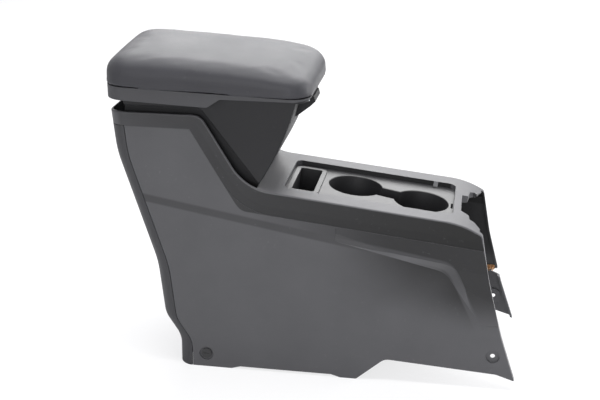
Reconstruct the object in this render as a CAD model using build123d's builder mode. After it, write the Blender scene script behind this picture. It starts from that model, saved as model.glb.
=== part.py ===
from build123d import *
import os
from math import atan, cos, degrees, radians, sin, tan

os.makedirs("parts", exist_ok=True)

# Sizes are in millimetres. +X is the front of the console, +Z is up, and Y = 0 is its middle plane.
# Only the staggered cup wells, the harness clip and one notch are not mirrored about that plane.

# Side outline of the console
cut_over = 60.0
base_half_width = 110.0
side_lean = 0.057
wall = 3.2
rear_foot_x = -202.5
rear_foot_z = 40.0
rear_step_x = -226.5
rear_step_z = 76.0
rear_bend_x = -236.5
rear_bend_z = 160.0
rear_shoulder_x = -293.5
rear_shoulder_z = 330.0
rear_top_x = -300.5
rear_step_radius = 40.0
rear_bend_radius = 160.0
rear_corner_radius = 24.0
side_top_z = 394.0
top_edge_radius = 2.4
knee_x = -161.5
knee_radius = 20.0
valley_x = -96.5
valley_radius = 76.0
deck_height = 278.2
deck_slope = 0.108
nose_start_x = 218.0
nose_start_radius = 120.0
nose_x = 247.0
nose_drop = 13.0
nose_radius = 8.0
front_upper_x = 259.5
front_upper_z = deck_height - 107.2
front_lower_x = 282.5
front_lower_z = 84.0
front_bend_radius = 260.0
foot_tip_x = 305.5
foot_tip_z = 17.0
arch_start_x = 72.5
arch_top_x = 114.5
arch_top_z = 36.0
arch_end_x = 278.5
arch_end_z = 25.5
arch_radius = 18.0
relief_front_x = 34.5
relief_rear_x = -105.5
relief_slope_length = 14.0
relief_height = 4.0
front_flange_width = 8.0
rib_thickness = 2.0
rib_height = 7.0
rib_spacing = 62.0
rib_count = 5

# Rear cover
seam_offset = 22.0
seam_gap = 0.9
cover_lap = 7.0
cover_lap_wall = 1.6
band_width_rear = 21.0
fit_gap = 0.3

# Band, bevels and scoop on the side walls
band_width_diagonal = 25.0
band_width_front = 35.0
crease_knee_radius = 12.0
crease_valley_radius = 100.0
band_bevel_width = 13.0
band_bevel_depth = 0.9
panel_relief_depth = 1.2
panel_relief_end_x = -38.5
scoop_depth = 3.6
scoop_slope = 0.1
scoop_rear_x = 36.5
scoop_rear_z = 217.5
scoop_low_corner = (197.5, 180.7)
scoop_high_corner = (210.5, 192.5)
scoop_front_x = 252.5
scoop_front_z = 101.0
scoop_radius = 32.0
backing_border = 24.0

# Deck recess, cup holders and pocket, measured along the sloping deck
recess_rear = -45.5
recess_front = 204.5
recess_half_width = 64.0
recess_corner_radius = 11.0
recess_depth = 7.5
recess_wall = 2.4
insert_flange = 7.0
insert_wall = 2.4
insert_ear_radius = 6.5
ear_sink = 1.0
ear_shares = (0.08, 0.5, 0.92)
cup_radius = 41.0
cup_draft = 4.0
cup_depth = 62.0
cup_rim_radius = 1.5
rear_cup_x = 54.5
rear_cup_y = 11.0
front_cup_x = 156.0
front_cup_y = -10.0
slot_width = 33.0
slot_depth = 40.0
cup_mat_thickness = 2.0
pocket_rear = -35.5
pocket_front = -2.5
pocket_half_width = 47.0
pocket_depth = 48.0
pocket_wall = 2.0
pocket_lip = 5.5
pocket_lip_height = 2.0
pocket_corner_radius = 4.0
tab_x = 173.5
tab_width = 7.0
tab_length = 6.5
tab_height = 6.8
tab_slot_width = 2.5
finger_slot_x = 202.0
finger_slot_y = -11.0
finger_slot_length = 20.0
finger_slot_width = 3.2

# Opening for the shift panel, at the front of the deck
opening_rear = 215.5
opening_near = [(0.0, 38.0), (12.0, 46.0), (14.0, 60.0), (21.0, 62.0), (29.0, 74.0)]
opening_far = [(0.0, 26.0), (9.5, 31.0), (11.5, 51.0), (18.5, 59.0), (22.5, 55.0), (26.0, 66.0), (31.0, 78.0)]
opening_flange_length = 22.0
opening_flange_depth = 14.0
opening_cut_depth = 54.0
opening_radius = 1.5

# Fixing seats in the side walls
front_seat_x = 272.3
front_seat_z = 53.7
front_seat_radius = 10.0
front_hole_radius = 3.6
rear_seat_x = -158.1
rear_seat_z = 21.5
rear_seat_radius = 11.0
rear_hole_radius = 4.2
seat_depth = 3.0
seat_wall = 2.4

# Notch in the far front edge
edge_notch_z = 98.0
edge_notch_height = 28.0
edge_notch_depth = 9.0

# Parting plane under the armrest
lid_height = 424.2
lid_slope = 0.03

# Storage box
box_wall = 3.0
box_side_room = 36.0
box_half_width_top = base_half_width - box_side_room
box_half_width_floor = box_half_width_top - 4.0
box_floor_z = 205.0
box_floor_rear_x = -238.5
box_floor_front_x = -86.5
box_front_low_x = -82.5
box_front_low_z = 290.0
box_rear_x = -277.5
box_rear_straight_z = lid_height - 48.2
box_front_x = -22.0
box_front_mid_x = -47.0
box_front_mid_z = 350.0
cheek_inset = 7.5
cheek_low_z = lid_height - 22.2
cheek_knee_x = -163.5
cheek_knee_radius = 15.0
cheek_tip_x = -77.5
cheek_tip_z = 293.0
cheek_tip_radius = 9.0
cheek_edge_radius = 2.0
deck_rear_gap = 3.5
latch_recess_half_width = 31.0
latch_recess_x = -36.5
latch_recess_low_z = lid_height - 45.2
lug_z = 262.0
lug_length = 18.0
lug_thickness = 3.5
lug_rear_x = -207.5
lug_front_x = -115.5
post_depth = 30.0
post_wall = 2.4
storage_mat_thickness = 2.0

# Lid
lid_rear_x = -302.5
lid_front_x = -3.5
lid_side_inset = 15.0
lid_half_width = base_half_width - lid_side_inset
lid_corner_radius = 28.0
lid_wall = 2.5
skirt_rear_z = lid_height - 9.7
skirt_step_z = lid_height - 16.2
skirt_step_x = -149.5
skirt_front_z = lid_height - 3.2
skirt_rise_x = -130.5
skirt_nose_x = -21.5
skirt_nose_z = lid_height - 1.7
skirt_radius = 9.0
inner_panel_depth = 7.0
inner_panel_inset = 1.2
inner_panel_wall = 2.4
rim_gap = 2.0
cushion_overhang = 3.0
cushion_rear_z = lid_height + 55.8
cushion_middle_x = -143.5
cushion_middle_z = lid_height + 51.8
cushion_front_x = -27.5
cushion_front_z = lid_height + 35.8
cushion_side_radius = 15.0
cushion_corner_radius = 32.0
cushion_rear_radius = 26.0
cushion_nose_radius = 14.0
cushion_nose_z = lid_height + 23.8
cushion_crown_radius = 800.0

# Hinge
hinge_x = -292.5
hinge_z = lid_height - 17.2
pin_radius = 3.0
pin_clearance = 0.05
barrel_radius = 6.0
steel = 2.2
leaf_half_width = 28.0
arm_width = 6.0
side_play = 0.4
leaf_length = 34.0
bracket_low_z = lid_height - 42.2

# Latch
latch_x = -13.5
latch_z = lid_height - 17.2
latch_half_width = 24.0
latch_pin_radius = 1.6
latch_ear = 2.4
latch_ear_radius = 5.0
latch_profile = [(-8, 5), (7, 5), (9, -3), (2, -10), (-19, -26.5), (-21, -25), (-17.5, -13), (-16.5, -5), (-10, 1)]
latch_catch_x = -30.5
latch_catch_z = lid_height - 25.7
latch_catch_length = 4.2
latch_catch_height = 3.0
spring_radius = 3.4
spring_half_length = 4.0
spring_wire = 1.0
striker_thickness = 1.5
striker_half_width = 12.0

# Screws
screw_radius = 2.0
screw_head_radius = 4.0
screw_head_height = 2.2
screw_play = 0.05

# Small fittings
bumper_radius = 5.0
bumper_rear_x = -243.5
bumper_front_x = -68.5
retainer_head_radius = 8.0
retainer_head_height = 2.0
retainer_length = 9.0
panel_clip_y = 14.0
panel_clip_width = 12.0
panel_clip_leg = 8.0
panel_clip_steel = 0.8
harness_clip_x = 265.5
harness_clip_z = 107.0
harness_clip_radius = 4.0

# Worked out from the sizes above
reach = 260.0
deck_plane = Plane(origin=(0, 0, deck_height), x_dir=(1, 0, -deck_slope), z_dir=(deck_slope, 0, 1))
tray_plane = deck_plane.offset(-recess_depth)
lid_plane = Plane(origin=(0, 0, lid_height), x_dir=(1, 0, -lid_slope), z_dir=(lid_slope, 0, 1))
wall_plane = Plane(origin=(0, -base_half_width, 0), x_dir=(1, 0, 0), z_dir=(0, -1, side_lean))
diagonal = (side_top_z - deck_height + deck_slope * valley_x) / (valley_x - knee_x)
deck_rear_x = cheek_tip_x - deck_rear_gap + 1.5


def deck_z(x):
    """Height of the deck's top surface at x."""
    return deck_height - deck_slope * x


def lid_z(x):
    """Height of the lid's parting plane at x."""
    return lid_height - lid_slope * x


def half_width(z, inset=0.0):
    """Half the width of the console at height z, taken inside the side wall by inset."""
    return base_half_width - side_lean * z - inset


def side_section(inset):
    """Sketch, in Y and Z, of the space between the two leaning side walls."""
    low, high = -60.0, 520.0
    near_low, near_high = half_width(low, inset), half_width(high, inset)
    with BuildSketch() as section:
        with BuildLine():
            Polyline((-near_low, low), (near_low, low), (near_high, high), (-near_high, high), close=True)
        make_face()
    return section.sketch


def rear_line(inset, low, high):
    """Rear curve of the side outline, moved forward by inset, from height low to height high."""
    lean = (rear_top_x - rear_shoulder_x) / (side_top_z - rear_shoulder_z)
    return FilletPolyline(
        (rear_foot_x + inset, low),
        (rear_foot_x + inset, rear_foot_z),
        (rear_step_x + inset, rear_step_z),
        (rear_bend_x + inset, rear_bend_z),
        (rear_shoulder_x + inset, rear_shoulder_z),
        (rear_shoulder_x + lean * (high - rear_shoulder_z) + inset, high),
        radius=[rear_step_radius, rear_step_radius, rear_bend_radius, rear_bend_radius],
    )


def front_points(inset):
    """Corners of the front edge of the side walls, from the start of the nose, moved into the form by inset."""
    outline = [
        Vector(0, deck_z(0)),
        Vector(nose_start_x, deck_z(nose_start_x)),
        Vector(nose_x, deck_z(nose_x) - nose_drop),
        Vector(front_upper_x, front_upper_z),
        Vector(front_lower_x, front_lower_z),
        Vector(foot_tip_x, foot_tip_z),
    ]
    corners = []
    for before, corner, after in zip(outline, outline[1:], outline[2:]):
        first, second = (corner - before).normalized(), (after - corner).normalized()
        inward = Vector(first.Y + second.Y, -first.X - second.X)
        corners.append(corner + inward * (inset / (1 + first.dot(second))))
    return corners


def crease_points():
    """Corners of the crease under the band, from behind the console to its front."""
    shift = band_width_diagonal * (1 + diagonal**2) ** 0.5 / diagonal
    knee = knee_x + band_width_rear / diagonal - shift
    drop = side_top_z - deck_height + band_width_front
    valley = (drop + diagonal * (knee_x - shift)) / (diagonal - deck_slope)
    return [
        (rear_top_x - 30, side_top_z - band_width_rear),
        (knee, side_top_z - band_width_rear),
        (valley, deck_z(valley) - band_width_front),
        (foot_tip_x, deck_z(foot_tip_x) - band_width_front),
    ]


def rear_edges(part, count):
    """The rear vertical edges of a part, where its sides meet its back."""
    upright = part.edges().filter_by(lambda e: e.bounding_box().size.Z > 5 and abs(e.center().Y) > 40)
    return upright.filter_by(lambda e: e.center().X < rear_foot_x + count)


# Relief of the rear half of the side panel, which sinks below the band towards the rear
relief_tilt = panel_relief_depth / (panel_relief_end_x - rear_top_x)
relief_plane = Plane(
    origin=(0, -base_half_width + relief_tilt * panel_relief_end_x, 0),
    x_dir=(1, -relief_tilt, 0),
    z_dir=(-relief_tilt, -1, side_lean),
)
with BuildPart() as panel_relief:
    with BuildSketch(relief_plane):
        with BuildLine():
            crease = FilletPolyline(*crease_points(), radius=[crease_knee_radius, crease_valley_radius])
            Polyline(crease @ 1, (foot_tip_x, -20), (rear_top_x - 30, -20), crease @ 0)
        make_face()
    extrude(amount=12)
    mirror(about=Plane.XZ)

# Shallow bevel of the band just above its crease
with BuildPart() as band_bevel:
    with BuildLine(wall_plane) as bevel_path:
        FilletPolyline(*crease_points(), radius=[crease_knee_radius, crease_valley_radius])
    bevel_start = Plane(
        origin=bevel_path.line @ 0, x_dir=(0, side_lean, 1), z_dir=bevel_path.line % 0
    )
    with BuildSketch(bevel_start):
        with BuildLine():
            Polyline(
                (0, -band_bevel_depth), (0, 3), (band_bevel_width, 3), (band_bevel_width, 0), close=True
            )
        make_face()
    sweep(path=bevel_path.line)
    mirror(about=Plane.XZ)

# Scoop in the upper front of each side wall, deepest at the bend of its long bevel
crease_foot = deck_height - band_width_front
chord = Vector(scoop_front_x - scoop_rear_x, scoop_front_z - scoop_rear_z).normalized()
upper_plane = Plane(
    origin=(0, -half_width(crease_foot), crease_foot),
    z_dir=(-scoop_slope * deck_slope, -1, side_lean - scoop_slope),
)
lower_plane = Plane(
    origin=(scoop_rear_x, -half_width(scoop_rear_z), scoop_rear_z),
    z_dir=(-scoop_slope * chord.Y, -1, side_lean + scoop_slope * chord.X),
)


def scoop_area(corner):
    """Sketch of the area above one edge of the scoop's bevel, closed outside the side wall."""
    with BuildSketch() as area:
        with BuildLine():
            edge = FilletPolyline(
                (scoop_rear_x, scoop_rear_z), corner, (scoop_front_x, scoop_front_z), radius=scoop_radius
            )
            far_x = foot_tip_x + 20
            Polyline(
                edge @ 1, (far_x, scoop_front_z), (far_x, side_top_z), (scoop_rear_x, side_top_z), edge @ 0
            )
        make_face()
    return area.sketch


with BuildPart() as scoop:
    with BuildSketch(wall_plane):
        add(scoop_area(scoop_low_corner))
    with BuildSketch(wall_plane.offset(-scoop_depth)):
        add(scoop_area(scoop_high_corner))
    loft(ruled=True)
    with BuildSketch(wall_plane):
        add(scoop_area(scoop_low_corner))
    extrude(amount=12)
    for plane in (upper_plane, lower_plane):
        with BuildSketch(plane):
            Rectangle(4 * reach, 4 * reach)
        extrude(amount=60, mode=Mode.INTERSECT)
    mirror(about=Plane.XZ)

# The whole outer moulding as one closed solid, before it is hollowed and the rear cover is parted from it
with BuildPart() as moulding:
    with BuildSketch(Plane.XZ):
        with BuildLine():
            rear = rear_line(0, 0, side_top_z)
            top = FilletPolyline(
                rear @ 1,
                (knee_x, side_top_z),
                (valley_x, deck_z(valley_x)),
                *front_points(0),
                (foot_tip_x, foot_tip_z),
                radius=[knee_radius, valley_radius, nose_start_radius, nose_radius]
                + [front_bend_radius, front_bend_radius],
            )
            arch = FilletPolyline(
                top @ 1,
                (arch_end_x, arch_end_z),
                (arch_top_x, arch_top_z),
                (arch_start_x, 0),
                (relief_front_x + relief_slope_length, 0),
                radius=[arch_radius, arch_radius, relief_height],
            )
            Polyline(
                arch @ 1,
                (relief_front_x, relief_height),
                (relief_rear_x, relief_height),
                (relief_rear_x - relief_slope_length, 0),
                rear @ 0,
            )
        make_face()
    extrude(amount=base_half_width + wall, both=True)
    with BuildSketch(Plane.YZ):
        add(side_section(0))
    extrude(amount=2 * reach, both=True, mode=Mode.INTERSECT)
    fillet(rear_edges(moulding, 1), rear_corner_radius)
    rim = moulding.edges().filter_by(lambda e: abs(e.center().Y) > 60 or e.center().X < rear_top_x + 1)
    rear_rim = rim.filter_by(lambda e: e.bounding_box().size.Z < 1 and e.center().Z > side_top_z - 1)
    rail_rim = rim.filter_by(lambda e: e.center().X > knee_x - 2 and e.center().Z > front_upper_z + wall)
    rail_rim = rail_rim.filter_by(lambda e: e.bounding_box().size.Y < rear_corner_radius)
    fillet(rear_rim + rail_rim, top_edge_radius)

# Space inside the moulding: open below, open at the top behind the deck, and shut by a thin front wall
with BuildPart() as cavity:
    with BuildSketch(Plane.XZ):
        with BuildLine():
            back = rear_line(wall, -cut_over, side_top_z + cut_over)
            ceiling = FilletPolyline(
                (deck_rear_x, deck_z(deck_rear_x) - wall),
                *front_points(wall),
                (foot_tip_x - wall, foot_tip_z),
                radius=[nose_start_radius - wall, nose_radius - wall, front_bend_radius, front_bend_radius],
            )
            Polyline(back @ 1, (deck_rear_x, side_top_z + cut_over), ceiling @ 0)
            Polyline(ceiling @ 1, (foot_tip_x - wall, -cut_over), back @ 0)
        make_face()
    extrude(amount=base_half_width + wall, both=True)
    with BuildSketch(Plane.YZ):
        add(side_section(wall))
    extrude(amount=2 * reach, both=True, mode=Mode.INTERSECT)
    fillet(rear_edges(cavity, wall + 1), rear_corner_radius - wall)
    with BuildPart(mode=Mode.PRIVATE) as scoop_backing:
        with BuildSketch(wall_plane.offset(-wall)):
            with BuildLine():
                border_x = scoop_front_x + backing_border
                FilletPolyline(
                    (scoop_rear_x + backing_border, scoop_rear_z - backing_border),
                    (scoop_low_corner[0] - backing_border / 2, scoop_low_corner[1] - backing_border),
                    (scoop_front_x - backing_border, scoop_front_z),
                    (border_x, scoop_front_z),
                    (border_x, scoop_rear_z + backing_border / 2),
                    (scoop_rear_x + backing_border, scoop_rear_z + backing_border / 2),
                    radius=backing_border / 2,
                    close=True,
                )
            make_face()
        extrude(amount=-scoop_depth)
        mirror(about=Plane.XZ)
    add(scoop_backing.part, mode=Mode.SUBTRACT)

# Window of the open front, inside its flange
with BuildPart() as front_window:
    with BuildSketch(Plane.XZ):
        with BuildLine():
            Polyline(
                (opening_rear, -cut_over),
                (opening_rear, deck_z(opening_rear) - opening_flange_depth),
                (foot_tip_x + cut_over, deck_z(opening_rear) - opening_flange_depth),
                (foot_tip_x + cut_over, -cut_over),
                close=True,
            )
        make_face()
    extrude(amount=base_half_width, both=True)
    with BuildSketch(Plane.YZ):
        add(side_section(wall + front_flange_width))
    extrude(amount=2 * reach, both=True, mode=Mode.INTERSECT)


def opening_outline(grow):
    """Sketch of the shift panel's opening along the deck, larger at its rear and sides by grow."""
    near_edge = [(opening_rear + x, -y) for x, y in opening_near] + [(foot_tip_x, -opening_near[-1][1])]
    far_edge = [(foot_tip_x, opening_far[-1][1])] + [(opening_rear + x, y) for x, y in opening_far[::-1]]
    with BuildSketch() as outline:
        with BuildLine():
            FilletPolyline(*near_edge, *far_edge, radius=opening_radius, close=True)
        make_face()
        if grow > 0:
            offset(amount=grow)
    return outline.sketch


def recess_outline(grow):
    """Sketch of the deck recess along the deck, larger all round by grow."""
    middle, length = (recess_rear + recess_front) / 2, recess_front - recess_rear
    with BuildSketch() as outline:
        with Locations((middle, 0)):
            RectangleRounded(
                length + 2 * grow, 2 * (recess_half_width + grow), recess_corner_radius + grow
            )
    return outline.sketch


ear_y = recess_half_width + recess_wall + insert_ear_radius - ear_sink
ear_xs = [recess_rear + share * (recess_front - recess_rear) for share in ear_shares]
ear_spots = [(x, y) for x in ear_xs for y in (-ear_y, ear_y)]
lug_y = (box_half_width_top + half_width(lug_z, wall)) / 2
lug_spots = [(x, y) for x in (lug_rear_x, lug_front_x) for y in (-lug_y, lug_y)]
seat_points = [(front_seat_x, front_seat_z, front_seat_radius, front_hole_radius)]
seat_points += [(rear_seat_x, rear_seat_z, rear_seat_radius, rear_hole_radius)]


def seat_plane(x, z, side):
    """Plane on the outer face of a side wall at x and z, facing outwards; side is -1 near, 1 far."""
    return Plane(origin=(x, side * half_width(z), z), x_dir=(1, 0, 0), z_dir=(0, side, side_lean))


# The moulding hollowed, with its deck recess, ribs, seats and front opening
with BuildPart() as shell:
    add(moulding.part)
    for tool in (panel_relief, band_bevel, scoop):
        add(tool.part, mode=Mode.SUBTRACT)
    add(cavity.part, mode=Mode.SUBTRACT)
    add(front_window.part, mode=Mode.SUBTRACT)

    # Recess wall under the deck, and the bosses that take the screws of the insert
    with BuildSketch(deck_plane.offset(-wall / 2)):
        add(recess_outline(recess_wall))
    extrude(amount=wall / 2 - recess_depth)
    with BuildSketch(deck_plane.offset(-wall / 2)):
        with Locations(*ear_spots):
            Circle(screw_head_radius + 0.5)
    extrude(amount=wall / 2 - recess_depth)
    with BuildSketch(deck_plane.offset(1)):
        add(recess_outline(0))
    extrude(amount=-recess_depth - 1.5, mode=Mode.SUBTRACT)
    with BuildSketch(tray_plane):
        with Locations(*ear_spots):
            Circle(screw_radius)
    extrude(amount=recess_depth - wall / 2, mode=Mode.SUBTRACT)
    tab_place = deck_plane.from_local_coords(Vector(tab_x, 0, 0))
    with BuildSketch(Plane(origin=tab_place, x_dir=(0, 1, 0), z_dir=deck_plane.x_dir)):
        with BuildLine():
            Polyline(
                (recess_half_width + recess_wall / 2, 0),
                (recess_half_width, 0),
                (recess_half_width - tab_length, -tab_height),
                (recess_half_width + recess_wall / 2, -tab_height),
                close=True,
            )
        make_face()
    extrude(amount=tab_width / 2, both=True)

    # Flange round the shift panel's opening, inside the form of the moulding
    with BuildPart(mode=Mode.PRIVATE) as opening_flange:
        with BuildSketch(deck_plane):
            add(opening_outline(recess_wall))
            with Locations((opening_rear + opening_flange_length + reach, 0)):
                Rectangle(2 * reach, 2 * reach, mode=Mode.SUBTRACT)
        extrude(amount=-opening_flange_depth)
        add(moulding.part, mode=Mode.INTERSECT)
    add(opening_flange.part)
    with BuildSketch(deck_plane.offset(wall)):
        add(opening_outline(0))
    extrude(amount=-wall - opening_cut_depth, mode=Mode.SUBTRACT)

    # Upright ribs on the inside of both side walls, clear of the box and the wells
    with BuildPart(mode=Mode.PRIVATE) as ribs:
        for n in range(rib_count):
            x = relief_rear_x + n * rib_spacing
            with BuildSketch(Plane.XY.offset(arch_top_z + 8)):
                with Locations((x, 0)):
                    Rectangle(rib_thickness, 2 * base_half_width)
            extrude(amount=rear_bend_z - arch_top_z)
        with BuildSketch(Plane.YZ):
            add(side_section(wall - 0.4))
        extrude(amount=2 * reach, both=True, mode=Mode.INTERSECT)
        with BuildSketch(Plane.YZ):
            add(side_section(wall + rib_height))
        extrude(amount=2 * reach, both=True, mode=Mode.SUBTRACT)
    add(ribs.part)

    # Posts that carry the storage box
    with BuildPart(mode=Mode.PRIVATE) as posts:
        with BuildSketch(Plane.XY.offset(lug_z)):
            with Locations((lug_rear_x, 0), (lug_front_x, 0)):
                Rectangle(lug_length, 2 * base_half_width)
        extrude(amount=-post_depth, taper=0)
        with BuildSketch(Plane.YZ):
            add(side_section(wall - 0.4))
        extrude(amount=2 * reach, both=True, mode=Mode.INTERSECT)
        with BuildSketch(Plane.XY):
            with Locations(((lug_rear_x + lug_front_x) / 2, 0)):
                Rectangle(reach, 2 * (box_half_width_top + 4 * fit_gap))
        extrude(amount=2 * reach, mode=Mode.SUBTRACT)
        with BuildSketch(Plane.XY.offset(lug_z - post_wall)):
            with Locations((lug_rear_x, 0), (lug_front_x, 0)):
                Rectangle(lug_length - 2 * post_wall, 2 * (half_width(lug_z) - wall - post_wall))
                Rectangle(lug_length, 2 * (box_half_width_top + post_wall), mode=Mode.SUBTRACT)
        extrude(amount=-post_depth, mode=Mode.SUBTRACT)
    add(posts.part)
    with BuildSketch(Plane.XY.offset(lug_z + 1)):
        with Locations(*lug_spots):
            Circle(screw_radius)
    extrude(amount=-post_wall - 2, mode=Mode.SUBTRACT)

    # Seats for the floor screws: a sunk face, a boss behind it and a through hole
    for x, z, radius, hole in seat_points:
        for side in (-1, 1):
            with BuildSketch(seat_plane(x, z, side).offset(-wall / 2)):
                Circle(radius + seat_wall)
            extrude(amount=wall / 2 - seat_depth - seat_wall)
            with BuildSketch(seat_plane(x, z, side).offset(1)):
                Circle(radius)
            extrude(amount=-seat_depth - 1, mode=Mode.SUBTRACT)
            with BuildSketch(seat_plane(x, z, side)):
                Circle(hole)
            extrude(amount=-seat_depth - seat_wall - 1, mode=Mode.SUBTRACT)

    # Notch in the far front edge
    notch_depth_line = front_lower_x - edge_notch_depth
    with BuildSketch(Plane.XZ):
        with BuildLine():
            Polyline(
                (notch_depth_line - 8, edge_notch_z),
                (front_lower_x + 14, edge_notch_z + edge_notch_height),
                (front_lower_x + 14, edge_notch_z - edge_notch_height / 2),
                close=True,
            )
        make_face()
    extrude(amount=-base_half_width, mode=Mode.SUBTRACT)


def behind_seam(shift):
    """Sketch, in X and Z, of the area covered by the rear cover, its edge moved forward by shift."""
    cover_top = side_top_z - band_width_rear + shift
    with BuildSketch() as area:
        with BuildLine():
            seam = rear_line(seam_offset + shift, -cut_over, cover_top)
            Polyline(seam @ 1, (rear_top_x - cut_over, cover_top), (rear_top_x - cut_over, -cut_over), seam @ 0)
        make_face()
    return area.sketch


# Console body: everything but the rear cover
with BuildPart() as console_body:
    add(shell.part)
    with BuildSketch(Plane.XZ):
        add(behind_seam(seam_gap))
    extrude(amount=base_half_width + wall, both=True, mode=Mode.SUBTRACT)
console_body.part.label = "console_body"
export_step(console_body.part, "parts/console_body.step")

def rear_form(inset):
    """Solid of the rear of the console with its rounded corners, all surfaces moved in by inset."""
    with BuildPart() as form:
        with BuildSketch(Plane.XZ):
            with BuildLine():
                back = rear_line(inset, -cut_over, side_top_z + cut_over)
                Polyline(back @ 1, (valley_x, side_top_z + cut_over), (valley_x, -cut_over), back @ 0)
            make_face()
        extrude(amount=base_half_width + wall, both=True)
        with BuildSketch(Plane.YZ):
            add(side_section(inset))
        extrude(amount=2 * reach, both=True, mode=Mode.INTERSECT)
        fillet(rear_edges(form, inset + 1), rear_corner_radius - inset)
    return form.part


def lap_area(width):
    """Sketch, in X and Z, of the lap of the rear cover, from just behind the seam to width before it."""
    low, high = rear_foot_z / 2, side_top_z - band_width_rear - cover_lap
    with BuildSketch() as area:
        with BuildLine():
            front_edge = rear_line(seam_offset + width, low, high)
            back_edge = rear_line(seam_offset - cover_lap / 2, low, high)
            Line(front_edge @ 0, back_edge @ 0)
            Line(front_edge @ 1, back_edge @ 1)
        make_face()
    return area.sketch


# Rear cover: wraps both rear corners, with a lap that lies inside the wall of the console body
with BuildPart() as rear_panel:
    add(shell.part)
    with BuildSketch(Plane.XZ):
        add(behind_seam(0))
    extrude(amount=base_half_width + wall, both=True, mode=Mode.INTERSECT)
    with BuildPart(mode=Mode.PRIVATE) as lap:
        add(rear_form(wall + fit_gap))
        add(rear_form(wall + fit_gap + cover_lap_wall), mode=Mode.SUBTRACT)
        with BuildSketch(Plane.XZ):
            add(lap_area(cover_lap))
        extrude(amount=base_half_width, both=True, mode=Mode.INTERSECT)
    with BuildPart(mode=Mode.PRIVATE) as lap_root:
        add(rear_form(wall / 2))
        add(rear_form(wall + fit_gap + cover_lap_wall), mode=Mode.SUBTRACT)
        with BuildSketch(Plane.XZ):
            add(lap_area(0))
        extrude(amount=base_half_width, both=True, mode=Mode.INTERSECT)
    add(lap.part)
    add(lap_root.part)
rear_panel.part.label = "rear_panel"
export_step(rear_panel.part, "parts/rear_panel.step")

# Cup holder insert: a plate under the recess, two drafted wells joined by a slot, a hole for the pocket
cups = [(rear_cup_x, rear_cup_y), (front_cup_x, front_cup_y)]
cup_line = Vector(front_cup_x - rear_cup_x, front_cup_y - rear_cup_y)
slot_middle = ((rear_cup_x + front_cup_x) / 2, (rear_cup_y + front_cup_y) / 2)
slot_turn = degrees(atan(cup_line.Y / cup_line.X))
with BuildPart() as cup_holder_insert:
    with BuildSketch(tray_plane):
        add(recess_outline(insert_flange))
        with Locations(*ear_spots):
            Circle(insert_ear_radius)
    extrude(amount=-insert_wall)
    with BuildSketch(tray_plane):
        with Locations(*cups):
            Circle(cup_radius + insert_wall)
    extrude(amount=-cup_depth - insert_wall, taper=cup_draft)
    with BuildSketch(tray_plane):
        with Locations(slot_middle):
            Rectangle(cup_line.length, slot_width + 2 * insert_wall, rotation=slot_turn)
    extrude(amount=-slot_depth - insert_wall)
    with BuildSketch(tray_plane):
        with Locations(*cups):
            Circle(cup_radius)
    extrude(amount=-cup_depth, taper=cup_draft, mode=Mode.SUBTRACT)
    with BuildSketch(tray_plane):
        with Locations(slot_middle):
            Rectangle(cup_line.length, slot_width, rotation=slot_turn)
    extrude(amount=-slot_depth, mode=Mode.SUBTRACT)
    mouth = cup_holder_insert.faces().filter_by(lambda f: abs(tray_plane.to_local_coords(f.center()).Z) < 0.01)
    rims = mouth.sort_by(SortBy.AREA)[-1].inner_wires().edges()
    fillet(rims, cup_rim_radius)
    with BuildSketch(tray_plane):
        with Locations(((pocket_rear + pocket_front) / 2, 0)):
            RectangleRounded(
                pocket_front - pocket_rear + 2 * (pocket_wall + fit_gap),
                2 * (pocket_half_width + pocket_wall + fit_gap),
                pocket_corner_radius + pocket_wall,
            )
        with Locations((finger_slot_x, finger_slot_y)):
            SlotOverall(finger_slot_length, finger_slot_width, rotation=90)
        with Locations((tab_x, recess_half_width - tab_length - tab_slot_width)):
            Rectangle(tab_width, tab_slot_width)
        with Locations(*ear_spots):
            Circle(screw_radius + 0.2)
    extrude(amount=-insert_wall, mode=Mode.SUBTRACT)
cup_holder_insert.part.label = "cup_holder_insert"
export_step(cup_holder_insert.part, "parts/cup_holder_insert.step")

# Pocket bin: drops into the insert and rests on it with a raised lip
pocket_middle = (pocket_rear + pocket_front) / 2
pocket_length = pocket_front - pocket_rear
with BuildPart() as pocket_bin:
    with BuildSketch(tray_plane):
        with Locations((pocket_middle, 0)):
            RectangleRounded(
                pocket_length + 2 * (pocket_wall + pocket_lip),
                2 * (pocket_half_width + pocket_wall + pocket_lip),
                pocket_corner_radius + pocket_lip,
            )
    extrude(amount=pocket_lip_height)
    with BuildSketch(tray_plane):
        with Locations((pocket_middle, 0)):
            RectangleRounded(
                pocket_length + 2 * pocket_wall,
                2 * (pocket_half_width + pocket_wall),
                pocket_corner_radius + pocket_wall,
            )
    extrude(amount=-pocket_depth - pocket_wall)
    with BuildSketch(tray_plane.offset(pocket_lip_height)):
        with Locations((pocket_middle, 0)):
            RectangleRounded(pocket_length, 2 * pocket_half_width, pocket_corner_radius)
    extrude(amount=-pocket_lip_height - pocket_depth, mode=Mode.SUBTRACT)
    lip_top = pocket_bin.faces().sort_by(lambda f: tray_plane.to_local_coords(f.center()).Z)[-1]
    fillet(lip_top.edges(), pocket_lip_height / 2.5)
pocket_bin.part.label = "pocket_bin"
export_step(pocket_bin.part, "parts/pocket_bin.step")

# Rubber mats on the floors of the pocket and of both wells
with BuildPart() as pocket_mat:
    with BuildSketch(tray_plane.offset(-pocket_depth)):
        with Locations((pocket_middle, 0)):
            RectangleRounded(
                pocket_length - 2 * fit_gap, 2 * (pocket_half_width - fit_gap), pocket_corner_radius - fit_gap
            )
    extrude(amount=pocket_wall)
pocket_mat.part.label = "pocket_mat"
export_step(pocket_mat.part, "parts/pocket_mat.step")

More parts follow.
